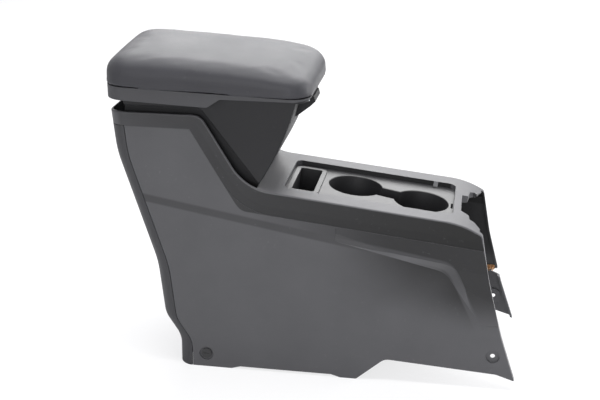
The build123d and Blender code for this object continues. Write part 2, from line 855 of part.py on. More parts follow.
cup_floor_radius = cup_radius - cup_depth * tan(radians(cup_draft))
with BuildPart() as cup_mats:
    with BuildSketch(tray_plane.offset(-cup_depth)):
        with Locations(*cups):
            Circle(cup_floor_radius - fit_gap)
    extrude(amount=cup_mat_thickness)
    with BuildSketch(tray_plane.offset(-cup_depth + cup_mat_thickness)):
        with Locations(*cups):
            Circle(cup_floor_radius - 2 * cup_mat_thickness)
            Circle(cup_floor_radius - 3 * cup_mat_thickness, mode=Mode.SUBTRACT)
    extrude(amount=-cup_mat_thickness / 2, mode=Mode.SUBTRACT)
cup_mats.part.label = "cup_mats"
export_step(cup_mats.part, "parts/cup_mats.step")


# Storage box
rim_plane = lid_plane.offset(-inner_panel_depth - rim_gap)
leaf_plane = lid_plane.offset(-inner_panel_depth)
leaf_rear_x = hinge_x - barrel_radius / 2
leaf_screw_spots = [(leaf_rear_x + leaf_length - 4 * steel, y) for y in (-leaf_half_width / 2, leaf_half_width / 2)]
bracket_screw_z = (bracket_low_z + hinge_z) / 2
bracket_screw_spots = [(y, bracket_screw_z) for y in (-leaf_half_width / 2, leaf_half_width / 2)]


def box_outline(inset):
    """Sketch, in X and Z, of the storage box from the side, its walls moved in by inset."""
    with BuildSketch() as outline:
        with BuildLine():
            Polyline(
                (box_front_x - inset, lid_height),
                (box_rear_x + inset, lid_height + 20),
                (box_rear_x + inset, box_rear_straight_z),
                (box_floor_rear_x + inset, box_floor_z + inset),
                (box_floor_front_x - inset, box_floor_z + inset),
                (box_front_low_x - inset, box_front_low_z),
            )
            ThreePointArc(
                (box_front_low_x - inset, box_front_low_z),
                (box_front_mid_x - inset, box_front_mid_z),
                (box_front_x - inset, lid_height),
            )
        make_face()
    return outline.sketch


def box_section(inset):
    """Sketch, in Y and Z, of the deep middle of the box, its walls moved in by inset."""
    low, high = box_half_width_floor - inset, box_half_width_top - inset
    with BuildSketch() as section:
        with BuildLine():
            Polyline(
                (-low, box_floor_z), (low, box_floor_z), (high, lid_height + 20), (-high, lid_height + 20), close=True
            )
        make_face()
    return section.sketch


def cheek_outline(inset):
    """Sketch, in X and Z, of the cheeks that widen the box above the console's rail."""
    slant = inset * (1 + diagonal**2) ** 0.5 / diagonal
    with BuildSketch() as outline:
        with BuildLine():
            edge = FilletPolyline(
                (box_rear_x + inset, lid_height + 20),
                (box_rear_x + inset, cheek_low_z + inset),
                (cheek_knee_x + slant / 2, cheek_low_z + inset),
                (cheek_tip_x - inset / 2, cheek_tip_z + slant),
                radius=[cheek_edge_radius, cheek_knee_radius],
            )
            ThreePointArc(
                edge @ 1,
                (box_front_mid_x - inset, box_front_mid_z),
                (box_front_x - inset, lid_height),
            )
            Line((box_front_x - inset, lid_height), edge @ 0)
        make_face()
    return outline.sketch


def box_form(inset):
    """Solid of the box's outer form, or of the space in it when inset is its wall."""
    with BuildPart() as middle:
        with BuildSketch(Plane.XZ):
            add(box_outline(inset))
        extrude(amount=box_half_width_top, both=True)
        with BuildSketch(Plane.YZ):
            add(box_section(inset))
        extrude(amount=2 * reach, both=True, mode=Mode.INTERSECT)
    with BuildPart() as cheeks:
        with BuildSketch(Plane.XZ):
            add(cheek_outline(inset))
        extrude(amount=base_half_width, both=True)
        with BuildSketch(Plane.YZ):
            add(side_section(cheek_inset + inset))
        extrude(amount=2 * reach, both=True, mode=Mode.INTERSECT)
    with BuildPart() as form:
        add(middle.part)
        add(cheeks.part)
    return form.part


with BuildPart() as storage_box:
    add(box_form(0))
    lower = storage_box.edges().filter_by(lambda e: abs(e.center().Y) > box_half_width_top + 2)
    lower = lower.filter_by(lambda e: e.center().Z < lid_height - 15 and e.bounding_box().size.Y < 10)
    fillet(lower.filter_by(lambda e: e.center().X > box_rear_x + 1), cheek_edge_radius)
    with BuildPart(mode=Mode.PRIVATE) as hollow:
        add(box_form(box_wall))
        with BuildSketch(Plane.XZ):
            with Locations((latch_recess_x + reach / 2 - box_wall, latch_recess_low_z + reach / 2 - box_wall)):
                Rectangle(reach, reach)
        extrude(amount=latch_recess_half_width + box_wall, both=True, mode=Mode.SUBTRACT)
    add(hollow.part, mode=Mode.SUBTRACT)
    with BuildSketch(Plane.XZ):
        with Locations((latch_recess_x + reach / 2, latch_recess_low_z + reach / 2)):
            Rectangle(reach, reach)
    extrude(amount=latch_recess_half_width, both=True, mode=Mode.SUBTRACT)
    with BuildSketch(rim_plane):
        Rectangle(4 * reach, 2 * reach)
    extrude(amount=60, mode=Mode.SUBTRACT)
    with BuildSketch(Plane.XZ):
        with Locations((hinge_x, lid_z(hinge_x))):
            Rectangle(2 * (box_rear_x + 2 * box_wall - hinge_x), 2 * (inner_panel_depth + rim_gap + steel + 1))
    extrude(amount=leaf_half_width + 3 * side_play + steel, both=True, mode=Mode.SUBTRACT)
    with BuildSketch(Plane.XY.offset(lug_z)):
        with Locations((lug_rear_x, 0), (lug_front_x, 0)):
            Rectangle(lug_length, 2 * (half_width(lug_z + lug_thickness) - wall - fit_gap))
            Rectangle(lug_length, 2 * (box_half_width_floor - box_wall / 2), mode=Mode.SUBTRACT)
        with Locations(*lug_spots):
            Circle(screw_radius + 0.2, mode=Mode.SUBTRACT)
    extrude(amount=lug_thickness)
    with BuildSketch(Plane.YZ.offset(box_rear_x - 1)):
        with Locations(*bracket_screw_spots):
            Circle(screw_radius)
    extrude(amount=box_wall + 2, mode=Mode.SUBTRACT)
storage_box.part.label = "storage_box"
export_step(storage_box.part, "parts/storage_box.step")

# Mat on the floor of the box
with BuildPart() as storage_mat:
    with BuildSketch(Plane.XY.offset(box_floor_z + box_wall)):
        with Locations(((box_floor_rear_x + box_floor_front_x) / 2, 0)):
            RectangleRounded(
                box_floor_front_x - box_floor_rear_x - 2 * box_wall - 4 * fit_gap,
                2 * (box_half_width_floor - box_wall - fit_gap),
                cheek_knee_radius / 2,
            )
    extrude(amount=storage_mat_thickness)
storage_mat.part.label = "storage_mat"
export_step(storage_mat.part, "parts/storage_mat.step")

# Lid: a pan with a stepped skirt, closed from below by the inner panel, and the cushion on top


def lid_outline(inset):
    """Sketch of the lid seen from above, moved in by inset."""
    with BuildSketch(Plane.XY.offset(box_rear_straight_z)) as outline:
        with Locations(((lid_rear_x + lid_front_x) / 2, 0)):
            RectangleRounded(
                lid_front_x - lid_rear_x - 2 * inset, 2 * (lid_half_width - inset), lid_corner_radius - inset
            )
    return outline.sketch


with BuildPart() as lid_shell:
    add(lid_outline(0))
    extrude(amount=cushion_rear_z - box_rear_straight_z)
    with BuildPart(mode=Mode.PRIVATE) as pan_space:
        add(lid_outline(lid_wall))
        extrude(amount=cushion_rear_z - box_rear_straight_z)
        with BuildSketch(lid_plane.offset(-lid_wall)):
            Rectangle(4 * reach, 2 * reach)
        extrude(amount=90, mode=Mode.SUBTRACT)
    add(pan_space.part, mode=Mode.SUBTRACT)
    with BuildSketch(Plane.XZ):
        with BuildLine():
            skirt = FilletPolyline(
                (lid_rear_x - 10, skirt_rear_z),
                (skirt_step_x, skirt_step_z),
                (skirt_rise_x, skirt_front_z),
                (skirt_nose_x, skirt_front_z),
                (lid_front_x + 10, skirt_nose_z + (skirt_nose_z - skirt_front_z) / 2),
                radius=skirt_radius,
            )
            Polyline(
                skirt @ 1,
                (lid_front_x + 10, lid_z(lid_front_x + 10)),
                (lid_rear_x - 10, lid_z(lid_rear_x - 10)),
                skirt @ 0,
            )
        make_face()
    extrude(amount=lid_half_width, both=True, mode=Mode.INTERSECT)
lid_shell.part.label = "lid_shell"
export_step(lid_shell.part, "parts/lid_shell.step")

# Inner panel: a tray turned upwards against the pan, with the two ears of the latch under it
ear_depth = lid_z(latch_x) - inner_panel_depth - latch_z + latch_ear_radius
latch_side = Plane(origin=(latch_x, 0, latch_z), x_dir=(1, 0, 0), z_dir=(0, -1, 0))
hinge_side = Plane(origin=(hinge_x, 0, hinge_z), x_dir=(1, 0, 0), z_dir=(0, -1, 0))

with BuildPart() as lid_inner_panel:
    add(lid_outline(lid_wall + inner_panel_inset))
    extrude(amount=cushion_rear_z - box_rear_straight_z)
    with BuildPart(mode=Mode.PRIVATE) as panel_space:
        add(lid_outline(lid_wall + inner_panel_inset + inner_panel_wall))
        extrude(amount=cushion_rear_z - box_rear_straight_z)
        with BuildSketch(lid_plane.offset(-inner_panel_depth + inner_panel_wall)):
            Rectangle(4 * reach, 2 * reach)
        extrude(amount=-90, mode=Mode.SUBTRACT)
    add(panel_space.part, mode=Mode.SUBTRACT)
    with BuildSketch(lid_plane.offset(-lid_wall)):
        Rectangle(4 * reach, 2 * reach)
    extrude(amount=90, mode=Mode.SUBTRACT)
    with BuildSketch(lid_plane.offset(-inner_panel_depth)):
        Rectangle(4 * reach, 2 * reach)
    extrude(amount=-90, mode=Mode.SUBTRACT)
    for side in (-1, 1):
        with BuildSketch(latch_side.offset(side * (latch_half_width + side_play + latch_ear / 2))):
            Circle(latch_ear_radius)
            with Locations((0, (ear_depth - latch_ear_radius) / 2 + 0.5)):
                Rectangle(2 * latch_ear_radius, ear_depth - latch_ear_radius + 1)
        extrude(amount=latch_ear / 2, both=True)
    with BuildSketch(latch_side):
        Circle(latch_pin_radius)
    extrude(amount=latch_half_width + 2 * latch_ear, both=True, mode=Mode.SUBTRACT)
    with BuildSketch(leaf_plane):
        with Locations(*leaf_screw_spots):
            Circle(screw_radius)
    extrude(amount=inner_panel_wall, mode=Mode.SUBTRACT)
lid_inner_panel.part.label = "lid_inner_panel"
export_step(lid_inner_panel.part, "parts/lid_inner_panel.step")

# Cushion: a closed crowned form that overhangs the pan all round
with BuildPart() as lid_cushion:
    with BuildSketch(Plane.XY.offset(box_rear_straight_z)):
        with Locations(((lid_rear_x + lid_front_x) / 2, 0)):
            RectangleRounded(
                lid_front_x - lid_rear_x + 2 * cushion_overhang,
                2 * (lid_half_width + cushion_overhang),
                cushion_corner_radius,
            )
    extrude(amount=cushion_rear_z)
    with BuildSketch(Plane.XZ):
        with BuildLine():
            rear_end, front_end = lid_rear_x - cushion_overhang, lid_front_x + cushion_overhang
            top_line = FilletPolyline(
                (rear_end, lid_z(rear_end) + fit_gap),
                (rear_end, cushion_rear_z),
                (cushion_middle_x, cushion_middle_z),
                (cushion_front_x, cushion_front_z),
                (front_end, cushion_nose_z),
                (front_end, lid_z(front_end) + fit_gap),
                (front_end - cushion_nose_radius, lid_z(front_end - cushion_nose_radius) + fit_gap),
                radius=[cushion_rear_radius, cushion_crown_radius, cushion_crown_radius / 8]
                + [cushion_nose_radius, cushion_nose_radius / 2],
            )
            Line(top_line @ 1, top_line @ 0)
        make_face()
    extrude(amount=reach, both=True, mode=Mode.INTERSECT)
    crown = lid_cushion.edges().filter_by(
        lambda e: e.center().Z > lid_height + cushion_side_radius and e.bounding_box().size.Y < cushion_corner_radius + 1
    )
    crown = crown.filter_by(lambda e: e.bounding_box().size.X > 1 and abs(e.center().Y) > lid_half_width / 2)
    fillet(crown, cushion_side_radius)
lid_cushion.part.label = "lid_cushion"
export_step(lid_cushion.part, "parts/lid_cushion.step")

# Hinge: the leaf under the inner panel, with two arms that reach down to the pin
arm_top = lid_z(hinge_x) - inner_panel_depth - hinge_z - steel / 2
arm_offset = leaf_half_width - arm_width / 2
with BuildPart() as hinge_leaf:
    with BuildSketch(leaf_plane):
        with Locations((leaf_rear_x + leaf_length / 2, 0)):
            Rectangle(leaf_length, 2 * leaf_half_width)
        with Locations(*leaf_screw_spots):
            Circle(screw_radius, mode=Mode.SUBTRACT)
    extrude(amount=-steel)
    fillet(hinge_leaf.edges().filter_by(lambda e: e.center().X > leaf_rear_x + leaf_length - 1 and e.length < 3), 6)
    for side in (-1, 1):
        with BuildSketch(hinge_side.offset(side * arm_offset)):
            Circle(barrel_radius)
            with BuildLine():
                Polyline(
                    (-barrel_radius / 2, 0),
                    (barrel_radius, 0),
                    (2 * barrel_radius, arm_top),
                    (-barrel_radius / 2, arm_top),
                    close=True,
                )
            make_face()
        extrude(amount=arm_width / 2, both=True)
    with BuildSketch(hinge_side):
        Circle(pin_radius + pin_clearance)
    extrude(amount=leaf_half_width + 1, both=True, mode=Mode.SUBTRACT)
hinge_leaf.part.label = "hinge_leaf"
export_step(hinge_leaf.part, "parts/hinge_leaf.step")

# Hinge bracket: a plate on the rear wall of the box, with an ear outside each arm
ear_inner_y = leaf_half_width + side_play
plate_front = box_rear_x - hinge_x
with BuildPart() as hinge_bracket:
    with BuildSketch(Plane.YZ.offset(box_rear_x - steel)):
        with Locations((0, (bracket_low_z + hinge_z + barrel_radius) / 2)):
            RectangleRounded(2 * (ear_inner_y + 3 * steel), hinge_z + barrel_radius - bracket_low_z, steel)
        with Locations(*bracket_screw_spots):
            Circle(screw_radius, mode=Mode.SUBTRACT)
    extrude(amount=steel)
    for side in (-1, 1):
        with BuildSketch(hinge_side.offset(side * (ear_inner_y + steel / 2))):
            Circle(barrel_radius)
            with BuildLine():
                Polyline(
                    (0, barrel_radius),
                    (plate_front, barrel_radius),
                    (plate_front, -hinge_z + bracket_low_z + steel),
                    (plate_front - steel, -hinge_z + bracket_low_z + steel),
                    (-barrel_radius / 2, -barrel_radius * 3**0.5 / 2),
                    close=True,
                )
            make_face()
        extrude(amount=steel / 2, both=True)
    with BuildSketch(hinge_side):
        Circle(pin_radius)
    extrude(amount=ear_inner_y + 2 * steel, both=True, mode=Mode.SUBTRACT)
hinge_bracket.part.label = "hinge_bracket"
export_step(hinge_bracket.part, "parts/hinge_bracket.step")

# Hinge pin: held in the ears of the bracket, with a flat head at each end
with BuildPart() as hinge_pin:
    with BuildSketch(hinge_side):
        Circle(pin_radius)
    extrude(amount=ear_inner_y + steel + 1, both=True)
    for side in (-1, 1):
        with BuildSketch(hinge_side.offset(side * (ear_inner_y + steel + 0.5))):
            Circle(pin_radius + 1.2)
        extrude(amount=0.5, both=True)
hinge_pin.part.label = "hinge_pin"
export_step(hinge_pin.part, "parts/hinge_pin.step")

# Latch: a lever with a grip, a hook and a paddle that hangs in the recess of the box
with BuildPart() as latch_lever:
    with BuildSketch(Plane.XZ):
        with BuildLine():
            Polyline(*[(latch_x + x, latch_z + z) for x, z in latch_profile], close=True)
        make_face()
    extrude(amount=latch_half_width, both=True)
    with BuildSketch(latch_side):
        with Locations((latch_catch_x - latch_x - 4, -latch_z + latch_catch_z)):
            Rectangle(8, 3 * latch_catch_height)
    extrude(amount=latch_half_width, both=True, mode=Mode.SUBTRACT)
    with BuildSketch(Plane.XZ):
        with BuildLine():
            Polyline(
                (latch_catch_x + 4, latch_catch_z - 1.2 * latch_catch_height),
                (latch_catch_x - latch_catch_length, latch_catch_z - latch_catch_height / 2),
                (latch_catch_x - latch_catch_length, latch_catch_z + latch_catch_height / 2),
                (latch_catch_x + 4, latch_catch_z + latch_catch_height * 0.8),
                close=True,
            )
        make_face()
    extrude(amount=striker_half_width - 2 * striker_thickness - 1.5, both=True)
    with BuildSketch(latch_side):
        Circle(spring_radius + 1)
        with Locations((0, latch_ear_radius + 2)):
            Rectangle(2 * spring_radius + 2, 2 * latch_ear_radius + 4)
    extrude(amount=spring_half_length + 1, both=True, mode=Mode.SUBTRACT)
    with BuildSketch(latch_side):
        Circle(latch_pin_radius + pin_clearance)
    extrude(amount=latch_half_width + 1, both=True, mode=Mode.SUBTRACT)
latch_lever.part.label = "latch_lever"
export_step(latch_lever.part, "parts/latch_lever.step")

with BuildPart() as latch_pin:
    with BuildSketch(latch_side):
        Circle(latch_pin_radius)
    extrude(amount=latch_half_width + side_play + latch_ear + 0.6, both=True)
latch_pin.part.label = "latch_pin"
export_step(latch_pin.part, "parts/latch_pin.step")

# Coil of the latch spring round the pin, with its fixed leg up to the inner panel
with BuildPart() as latch_spring:
    with BuildSketch(latch_side):
        Circle(spring_radius)
        Circle(latch_pin_radius + 3 * pin_clearance, mode=Mode.SUBTRACT)
    extrude(amount=spring_half_length, both=True)
    with BuildSketch(Plane.XY.offset(latch_z + latch_pin_radius + spring_wire / 2)):
        with Locations((latch_x, spring_half_length - spring_wire / 2)):
            Rectangle(spring_wire, spring_wire)
    extrude(amount=lid_z(latch_x) - inner_panel_depth - latch_z - latch_pin_radius - 0.6 * spring_wire)
latch_spring.part.label = "latch_spring"
export_step(latch_spring.part, "parts/latch_spring.step")

# Striker: a steel plate on the wall of the latch recess, with a window for the hook
with BuildPart() as latch_striker:
    with BuildSketch(Plane.YZ.offset(latch_recess_x)):
        with Locations((0, latch_catch_z + latch_catch_height)):
            RectangleRounded(2 * striker_half_width, 5 * latch_catch_height, striker_thickness)
        with Locations((0, latch_catch_z)):
            Rectangle(2 * (striker_half_width - 2 * striker_thickness), 2 * latch_catch_height, mode=Mode.SUBTRACT)
    extrude(amount=striker_thickness)
latch_striker.part.label = "latch_striker"
export_step(latch_striker.part, "parts/latch_striker.step")

# Rubber bumpers under the inner panel, just above the rim of the cheeks
bumper_y = half_width(lid_height - inner_panel_depth - rim_gap, cheek_inset + box_wall / 2)
with BuildPart() as lid_bumpers:
    with BuildSketch(leaf_plane):
        with Locations(*[(x, y) for x in (bumper_rear_x, bumper_front_x) for y in (-bumper_y, bumper_y)]):
            Circle(bumper_radius)
    extrude(amount=-rim_gap + fit_gap)
lid_bumpers.part.label = "lid_bumpers"
export_step(lid_bumpers.part, "parts/lid_bumpers.step")


def screw_set(planes, length):
    """Screws with their heads on the given planes and shanks of one length behind them."""
    with BuildPart() as screws:
        for plane in planes:
            with BuildSketch(plane):
                Circle(screw_head_radius)
            extrude(amount=screw_head_height)
            with BuildSketch(plane):
                Circle(screw_radius - screw_play)
            extrude(amount=-length)
    return screws.part


def moved(plane, x, y):
    """The plane with its origin moved along its own axes."""
    return Plane(origin=plane.from_local_coords(Vector(x, y, 0)), x_dir=plane.x_dir, z_dir=plane.z_dir)


under_insert = tray_plane.offset(-insert_wall)
under_insert = Plane(origin=under_insert.origin, x_dir=under_insert.x_dir, z_dir=-under_insert.z_dir)
with BuildPart() as insert_screws:
    add(screw_set([moved(under_insert, x, -y) for x, y in ear_spots], insert_wall + recess_depth - wall))
insert_screws.part.label = "insert_screws"
export_step(insert_screws.part, "parts/insert_screws.step")

with BuildPart() as box_screws:
    over_lug = Plane.XY.offset(lug_z + lug_thickness)
    add(screw_set([moved(over_lug, x, y) for x, y in lug_spots], lug_thickness + post_wall))
box_screws.part.label = "box_screws"
export_step(box_screws.part, "parts/box_screws.step")

with BuildPart() as hinge_screws:
    behind_plate = Plane(origin=(box_rear_x - steel, 0, 0), x_dir=(0, -1, 0), z_dir=(-1, 0, 0))
    add(screw_set([moved(behind_plate, y, z) for y, z in bracket_screw_spots], steel + box_wall))
hinge_screws.part.label = "hinge_screws"
export_step(hinge_screws.part, "parts/hinge_screws.step")

under_leaf = leaf_plane.offset(-steel)
under_leaf = Plane(origin=under_leaf.origin, x_dir=under_leaf.x_dir, z_dir=-under_leaf.z_dir)
with BuildPart() as lid_screws:
    add(screw_set([moved(under_leaf, x, y) for x, y in leaf_screw_spots], steel + inner_panel_wall))
lid_screws.part.label = "lid_screws"
export_step(lid_screws.part, "parts/lid_screws.step")

# Push retainers in the two rear seats
with BuildPart() as floor_retainers:
    for side in (-1, 1):
        seat_floor = seat_plane(rear_seat_x, rear_seat_z, side).offset(-seat_depth)
        with BuildSketch(seat_floor):
            Circle(retainer_head_radius)
        extrude(amount=retainer_head_height)
        with BuildSketch(seat_floor):
            Circle(rear_hole_radius - 2 * screw_play)
        extrude(amount=-retainer_length)
        with BuildSketch(seat_floor.offset(retainer_head_height)):
            Rectangle(retainer_head_radius, retainer_head_height / 2)
        extrude(amount=-retainer_head_height / 2, mode=Mode.SUBTRACT)
floor_retainers.part.label = "floor_retainers"
export_step(floor_retainers.part, "parts/floor_retainers.step")

# Spring clips over the lower edge of the flange of the shift panel's opening
clip_plane = Plane(origin=(0, 0, deck_height), x_dir=(1, 0, -deck_slope), z_dir=(0, -1, 0))
clip_middle = opening_rear - recess_wall / 2
clip_gap = recess_wall + 2 * screw_play
with BuildPart() as panel_clips:
    for y in (-panel_clip_y, panel_clip_y):
        with BuildSketch(clip_plane.offset(y)):
            with Locations((clip_middle, -opening_flange_depth - panel_clip_steel + panel_clip_leg / 2)):
                Rectangle(clip_gap + 2 * panel_clip_steel, panel_clip_leg)
            with Locations((clip_middle, -opening_flange_depth + panel_clip_leg / 2)):
                Rectangle(clip_gap, panel_clip_leg, mode=Mode.SUBTRACT)
        extrude(amount=panel_clip_width / 2, both=True)
panel_clips.part.label = "panel_clips"
export_step(panel_clips.part, "parts/panel_clips.step")

# Clip for a harness, on the inside of the far wall beside the notch
far_inside = seat_plane(harness_clip_x, harness_clip_z, 1).offset(-wall - scoop_depth)
with BuildPart() as harness_clip:
    with BuildSketch(far_inside):
        RectangleRounded(3 * harness_clip_radius, 2 * harness_clip_radius, 1)
    extrude(amount=-screw_head_height / 1.5)
    loop_side = Plane(origin=far_inside.origin, x_dir=far_inside.x_dir, z_dir=far_inside.y_dir)
    with BuildSketch(loop_side):
        with Locations((0, screw_head_height / 1.5 + harness_clip_radius - 0.4)):
            Circle(harness_clip_radius)
            Circle(harness_clip_radius - panel_clip_steel, mode=Mode.SUBTRACT)
            with Locations((0, harness_clip_radius)):
                Rectangle(harness_clip_radius, harness_clip_radius, mode=Mode.SUBTRACT)
    extrude(amount=harness_clip_radius * 0.8, both=True)
harness_clip.part.label = "harness_clip"
export_step(harness_clip.part, "parts/harness_clip.step")
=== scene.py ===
"""Looks of a moulded car floor console: its finishes, padded armrest, small fittings, studio and camera."""

from __future__ import annotations

import logging
import math
from collections.abc import Sequence
from dataclasses import dataclass, field
from enum import Enum
from typing import ClassVar

import bmesh
import bpy
import numpy as np
from bpy.types import GeometryNodeTree, ID, Material, Node, NodeSocket, NodeTree, Object, bpy_prop_collection
from mathutils import Euler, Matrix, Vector, noise

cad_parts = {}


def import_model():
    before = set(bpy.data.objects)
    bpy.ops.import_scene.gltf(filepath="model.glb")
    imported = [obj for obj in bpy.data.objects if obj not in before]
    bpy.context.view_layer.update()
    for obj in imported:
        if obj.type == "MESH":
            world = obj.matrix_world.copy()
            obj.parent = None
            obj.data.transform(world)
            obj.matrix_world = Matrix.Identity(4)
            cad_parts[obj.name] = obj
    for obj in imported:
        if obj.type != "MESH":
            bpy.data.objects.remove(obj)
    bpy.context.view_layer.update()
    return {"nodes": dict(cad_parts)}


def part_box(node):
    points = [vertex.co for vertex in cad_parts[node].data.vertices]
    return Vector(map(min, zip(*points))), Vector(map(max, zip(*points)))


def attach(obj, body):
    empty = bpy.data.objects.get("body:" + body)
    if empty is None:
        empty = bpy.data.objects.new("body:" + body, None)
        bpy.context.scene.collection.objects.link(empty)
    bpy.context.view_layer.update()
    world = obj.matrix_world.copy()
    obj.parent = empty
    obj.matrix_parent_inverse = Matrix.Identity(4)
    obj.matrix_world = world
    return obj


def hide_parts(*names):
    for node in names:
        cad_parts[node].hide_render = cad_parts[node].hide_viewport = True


log = logging.getLogger("console")
MM = 0.001
Pair = tuple[float, float]
Triple = tuple[float, float, float]


def linear(code: str) -> tuple[float, float, float, float]:
    """Turns an sRGB hex colour into linear light.

    Args:
        code: Colour written as "#rrggbb".

    Returns:
        Red, green and blue in linear light, and an alpha of 1.
    """
    shares = [int(code[i : i + 2], 16) / 255 for i in (1, 3, 5)]
    red, green, blue = [s / 12.92 if s <= 0.04045 else ((s + 0.055) / 1.055) ** 2.4 for s in shares]
    return red, green, blue, 1.0


def add_node(tree: NodeTree, kind: str, settings: dict[str, object] | str | None = None, **links: object) -> Node:
    """Adds one node, with its settings, its values and the links into it.

    Args:
        tree: Node tree that takes the node.
        kind: Blender's type name of the node.
        settings: Properties set on the node itself, or the text of its operation.
        **links: Input names, spaces as underscores, each with a value or an output socket.

    Returns:
        The new node.
    """
    node = tree.nodes.new(kind)
    if isinstance(settings, str):
        settings = {"operation": settings}
    for name, value in (settings or {}).items():
        setattr(node, name, value)
    for name, value in links.items():
        wanted = name.replace("_", " ")
        socket = node.inputs[int(name[1:])] if name[0] == "i" and name[1:].isdigit() else node.inputs[wanted]
        if isinstance(value, NodeSocket):
            tree.links.new(value, socket)
        else:
            socket.default_value = value
    return node


class Grain(Enum):
    """How a surface was textured in its mould or by its cover."""

    PEBBLE = "fine pebbled tool texture"
    SATIN = "lightly blasted tool"
    HIDE = "embossed hide grain"
    PLAIN = "plain drawn or plated face"


@dataclass(frozen=True)
class PaintedSideShade:
    """Painted shade on the side walls. The colour is darkened on the band under the rail and in the scoop and its
    hollow, and less on the scoop's bevel, where less light falls.

    Points, reaches and edges lie in the X and Z plane, in millimetres. The shares multiply the colour.
    """

    band_level: float = 373.0
    knee_x: float = -177.9
    valley: Pair = (-104.8, 254.5)
    deck_fall: float = 0.108
    crease_round: float = 20.0
    # Painted shade of the band under the rail: its share of the colour at the rear and at the front, and how it eases
    # between them
    band_rear: Pair = (-290.0, 0.86)
    band_front: Pair = (225.0, 0.05)
    band_curve: float = 0.38
    band_edge: Pair = (-0.7, 0.7)
    scoop_start: Pair = (29.2, 224.6)
    scoop_corner: Pair = (207.0, 194.5)
    scoop_end: Pair = (242.4, 121.1)
    scoop_round: float = 22.0
    scoop_edge: Pair = (-1.5, 1.5)
    # Painted shade of the scoop's bevel, of the zone inside the scoop and of the hollow under the bevel, faded out
    # near the foot
    bevel_edge: Pair = (-12.5, -10.0)
    bevel_share: float = 0.58
    zone_reach: Pair = (-120.0, 150.0)
    zone_share: float = 0.22
    hollow_edge: Pair = (-115.0, -10.0)
    hollow_reach: Pair = (0.0, 175.0)
    hollow_share: float = 0.16
    foot_reach: Pair = (85.0, 150.0)
    outer_facing: Pair = (0.9, 0.98)

    def share(self, tree: NodeTree, place: NodeSocket) -> NodeSocket:
        """Works out the painted shade: how much of the colour shows at each point.

        Args:
            tree: Node tree of the material.
            place: Object coordinates.

        Returns:
            The share, which is 1 away from the side faces.
        """
        across, _, up = add_node(tree, "ShaderNodeSeparateXYZ", Vector=place).outputs
        over, out = self._distances(tree, across, up)
        ramps = []
        for value, start, end, kind, low, high in (
            (over, *self.band_edge, "LINEAR", 0.0, 1.0),
            (across, self.band_rear[0], self.band_front[0], "LINEAR", 0.0, 1.0),
            (out, *self.hollow_edge, "LINEAR", 0.0, 1.0),
            (out, *self.bevel_edge, "LINEAR", 0.0, 1.0),
            (out, *self.scoop_edge, "LINEAR", 0.0, 1.0),
            (across, *self.hollow_reach, "SMOOTHSTEP", 1.0, self.hollow_share),
            (across, *self.zone_reach, "SMOOTHSTEP", 1.0, self.zone_share),
            (up, *self.foot_reach, "SMOOTHSTEP", 0.0, 1.0),
        ):
            ramp = add_node(
                tree, "ShaderNodeMapRange", {"interpolation_type": kind}, Value=value, From_Min=start * MM,
                From_Max=end * MM, To_Min=low, To_Max=high,
            )
            ramps.append(ramp.outputs["Result"])
        band, along, in_hollow, in_bevel, in_scoop, hollow, zone, above_foot = ramps
        eased = add_node(tree, "ShaderNodeMath", "POWER", i0=along, i1=self.band_curve)
        # Painted shade of the band, darker towards the front
        band_painted_shade = add_node(
            tree, "ShaderNodeMath", "MULTIPLY_ADD", i0=eased.outputs[0], i1=self.band_front[1] - self.band_rear[1],
            i2=self.band_rear[1],
        )
        facing = add_node(tree, "ShaderNodeNewGeometry").outputs["Normal"]
        turned = add_node(tree, "ShaderNodeSeparateXYZ", Vector=facing).outputs["Y"]
        flat = add_node(tree, "ShaderNodeMath", "ABSOLUTE", i0=turned).outputs[0]
        low, high = self.outer_facing
        outer = add_node(tree, "ShaderNodeMapRange", Value=flat, From_Min=low, From_Max=high)
        # Painted shade in and around the scoop: its hollow, its bevel and the zone it bounds
        tone: NodeSocket | float = 1.0
        for factor, value in ((in_hollow, hollow), (in_bevel, self.bevel_share), (in_scoop, zone)):
            tone = add_node(tree, "ShaderNodeMix", i0=factor, i2=tone, i3=value).outputs[0]
        wall = add_node(tree, "ShaderNodeMix", i0=above_foot, i2=1.0, i3=tone).outputs[0]
        side = add_node(tree, "ShaderNodeMix", i0=band, i2=wall, i3=band_painted_shade.outputs[0]).outputs[0]
        return add_node(tree, "ShaderNodeMix", i0=outer.outputs["Result"], i2=1.0, i3=side).outputs[0]

    def _distances(self, tree: NodeTree, across: NodeSocket, up: NodeSocket) -> tuple[NodeSocket, NodeSocket]:
        """Measures each point from the band's crease and from the scoop's outline.

        Args:
            tree: Node tree of the material.
            across: Position along X.
            up: Position along Z.

        Returns:
            The height over the crease, and the distance out of the scoop, which is negative inside it.
        """
        corner = self.scoop_corner
        steep = (self.valley[1] - self.band_level) / (self.valley[0] - self.knee_x)
        fall = (corner[1] - self.scoop_start[1]) / (corner[0] - self.scoop_start[0])
        lean = (self.scoop_end[0] - corner[0]) / (self.scoop_end[1] - corner[1])
        lines = []
        for run, slope, at in (
            (across, steep, self.valley),
            (across, -self.deck_fall, self.valley),
            (across, fall, self.scoop_start),
            (up, -lean, (corner[1], -corner[0])),
        ):
            start = (at[1] - slope * at[0]) * MM
            line = add_node(tree, "ShaderNodeMath", "MULTIPLY_ADD", i0=run, i1=slope, i2=start)
            lines.append(line.outputs[0])
        rail, deck, scoop, wall = lines
        knee = add_node(tree, "ShaderNodeMath", "MINIMUM", i0=rail, i1=self.band_level * MM)
        above = add_node(tree, "ShaderNodeMath", "SUBTRACT", i0=up, i1=scoop)
        before = add_node(tree, "ShaderNodeMath", "ADD", i0=across, i1=wall)
        blends = []
        for first, second, radius in (
            (knee.outputs[0], deck, self.crease_round),
            (above.outputs[0], before.outputs[0], self.scoop_round),
        ):
            blend = add_node(tree, "ShaderNodeMath", "SMOOTH_MAX", i0=first, i1=second, i2=radius * MM)
            blends.append(blend.outputs[0])
        over = add_node(tree, "ShaderNodeMath", "SUBTRACT", i0=up, i1=blends[0])
        return over.outputs[0], blends[1]


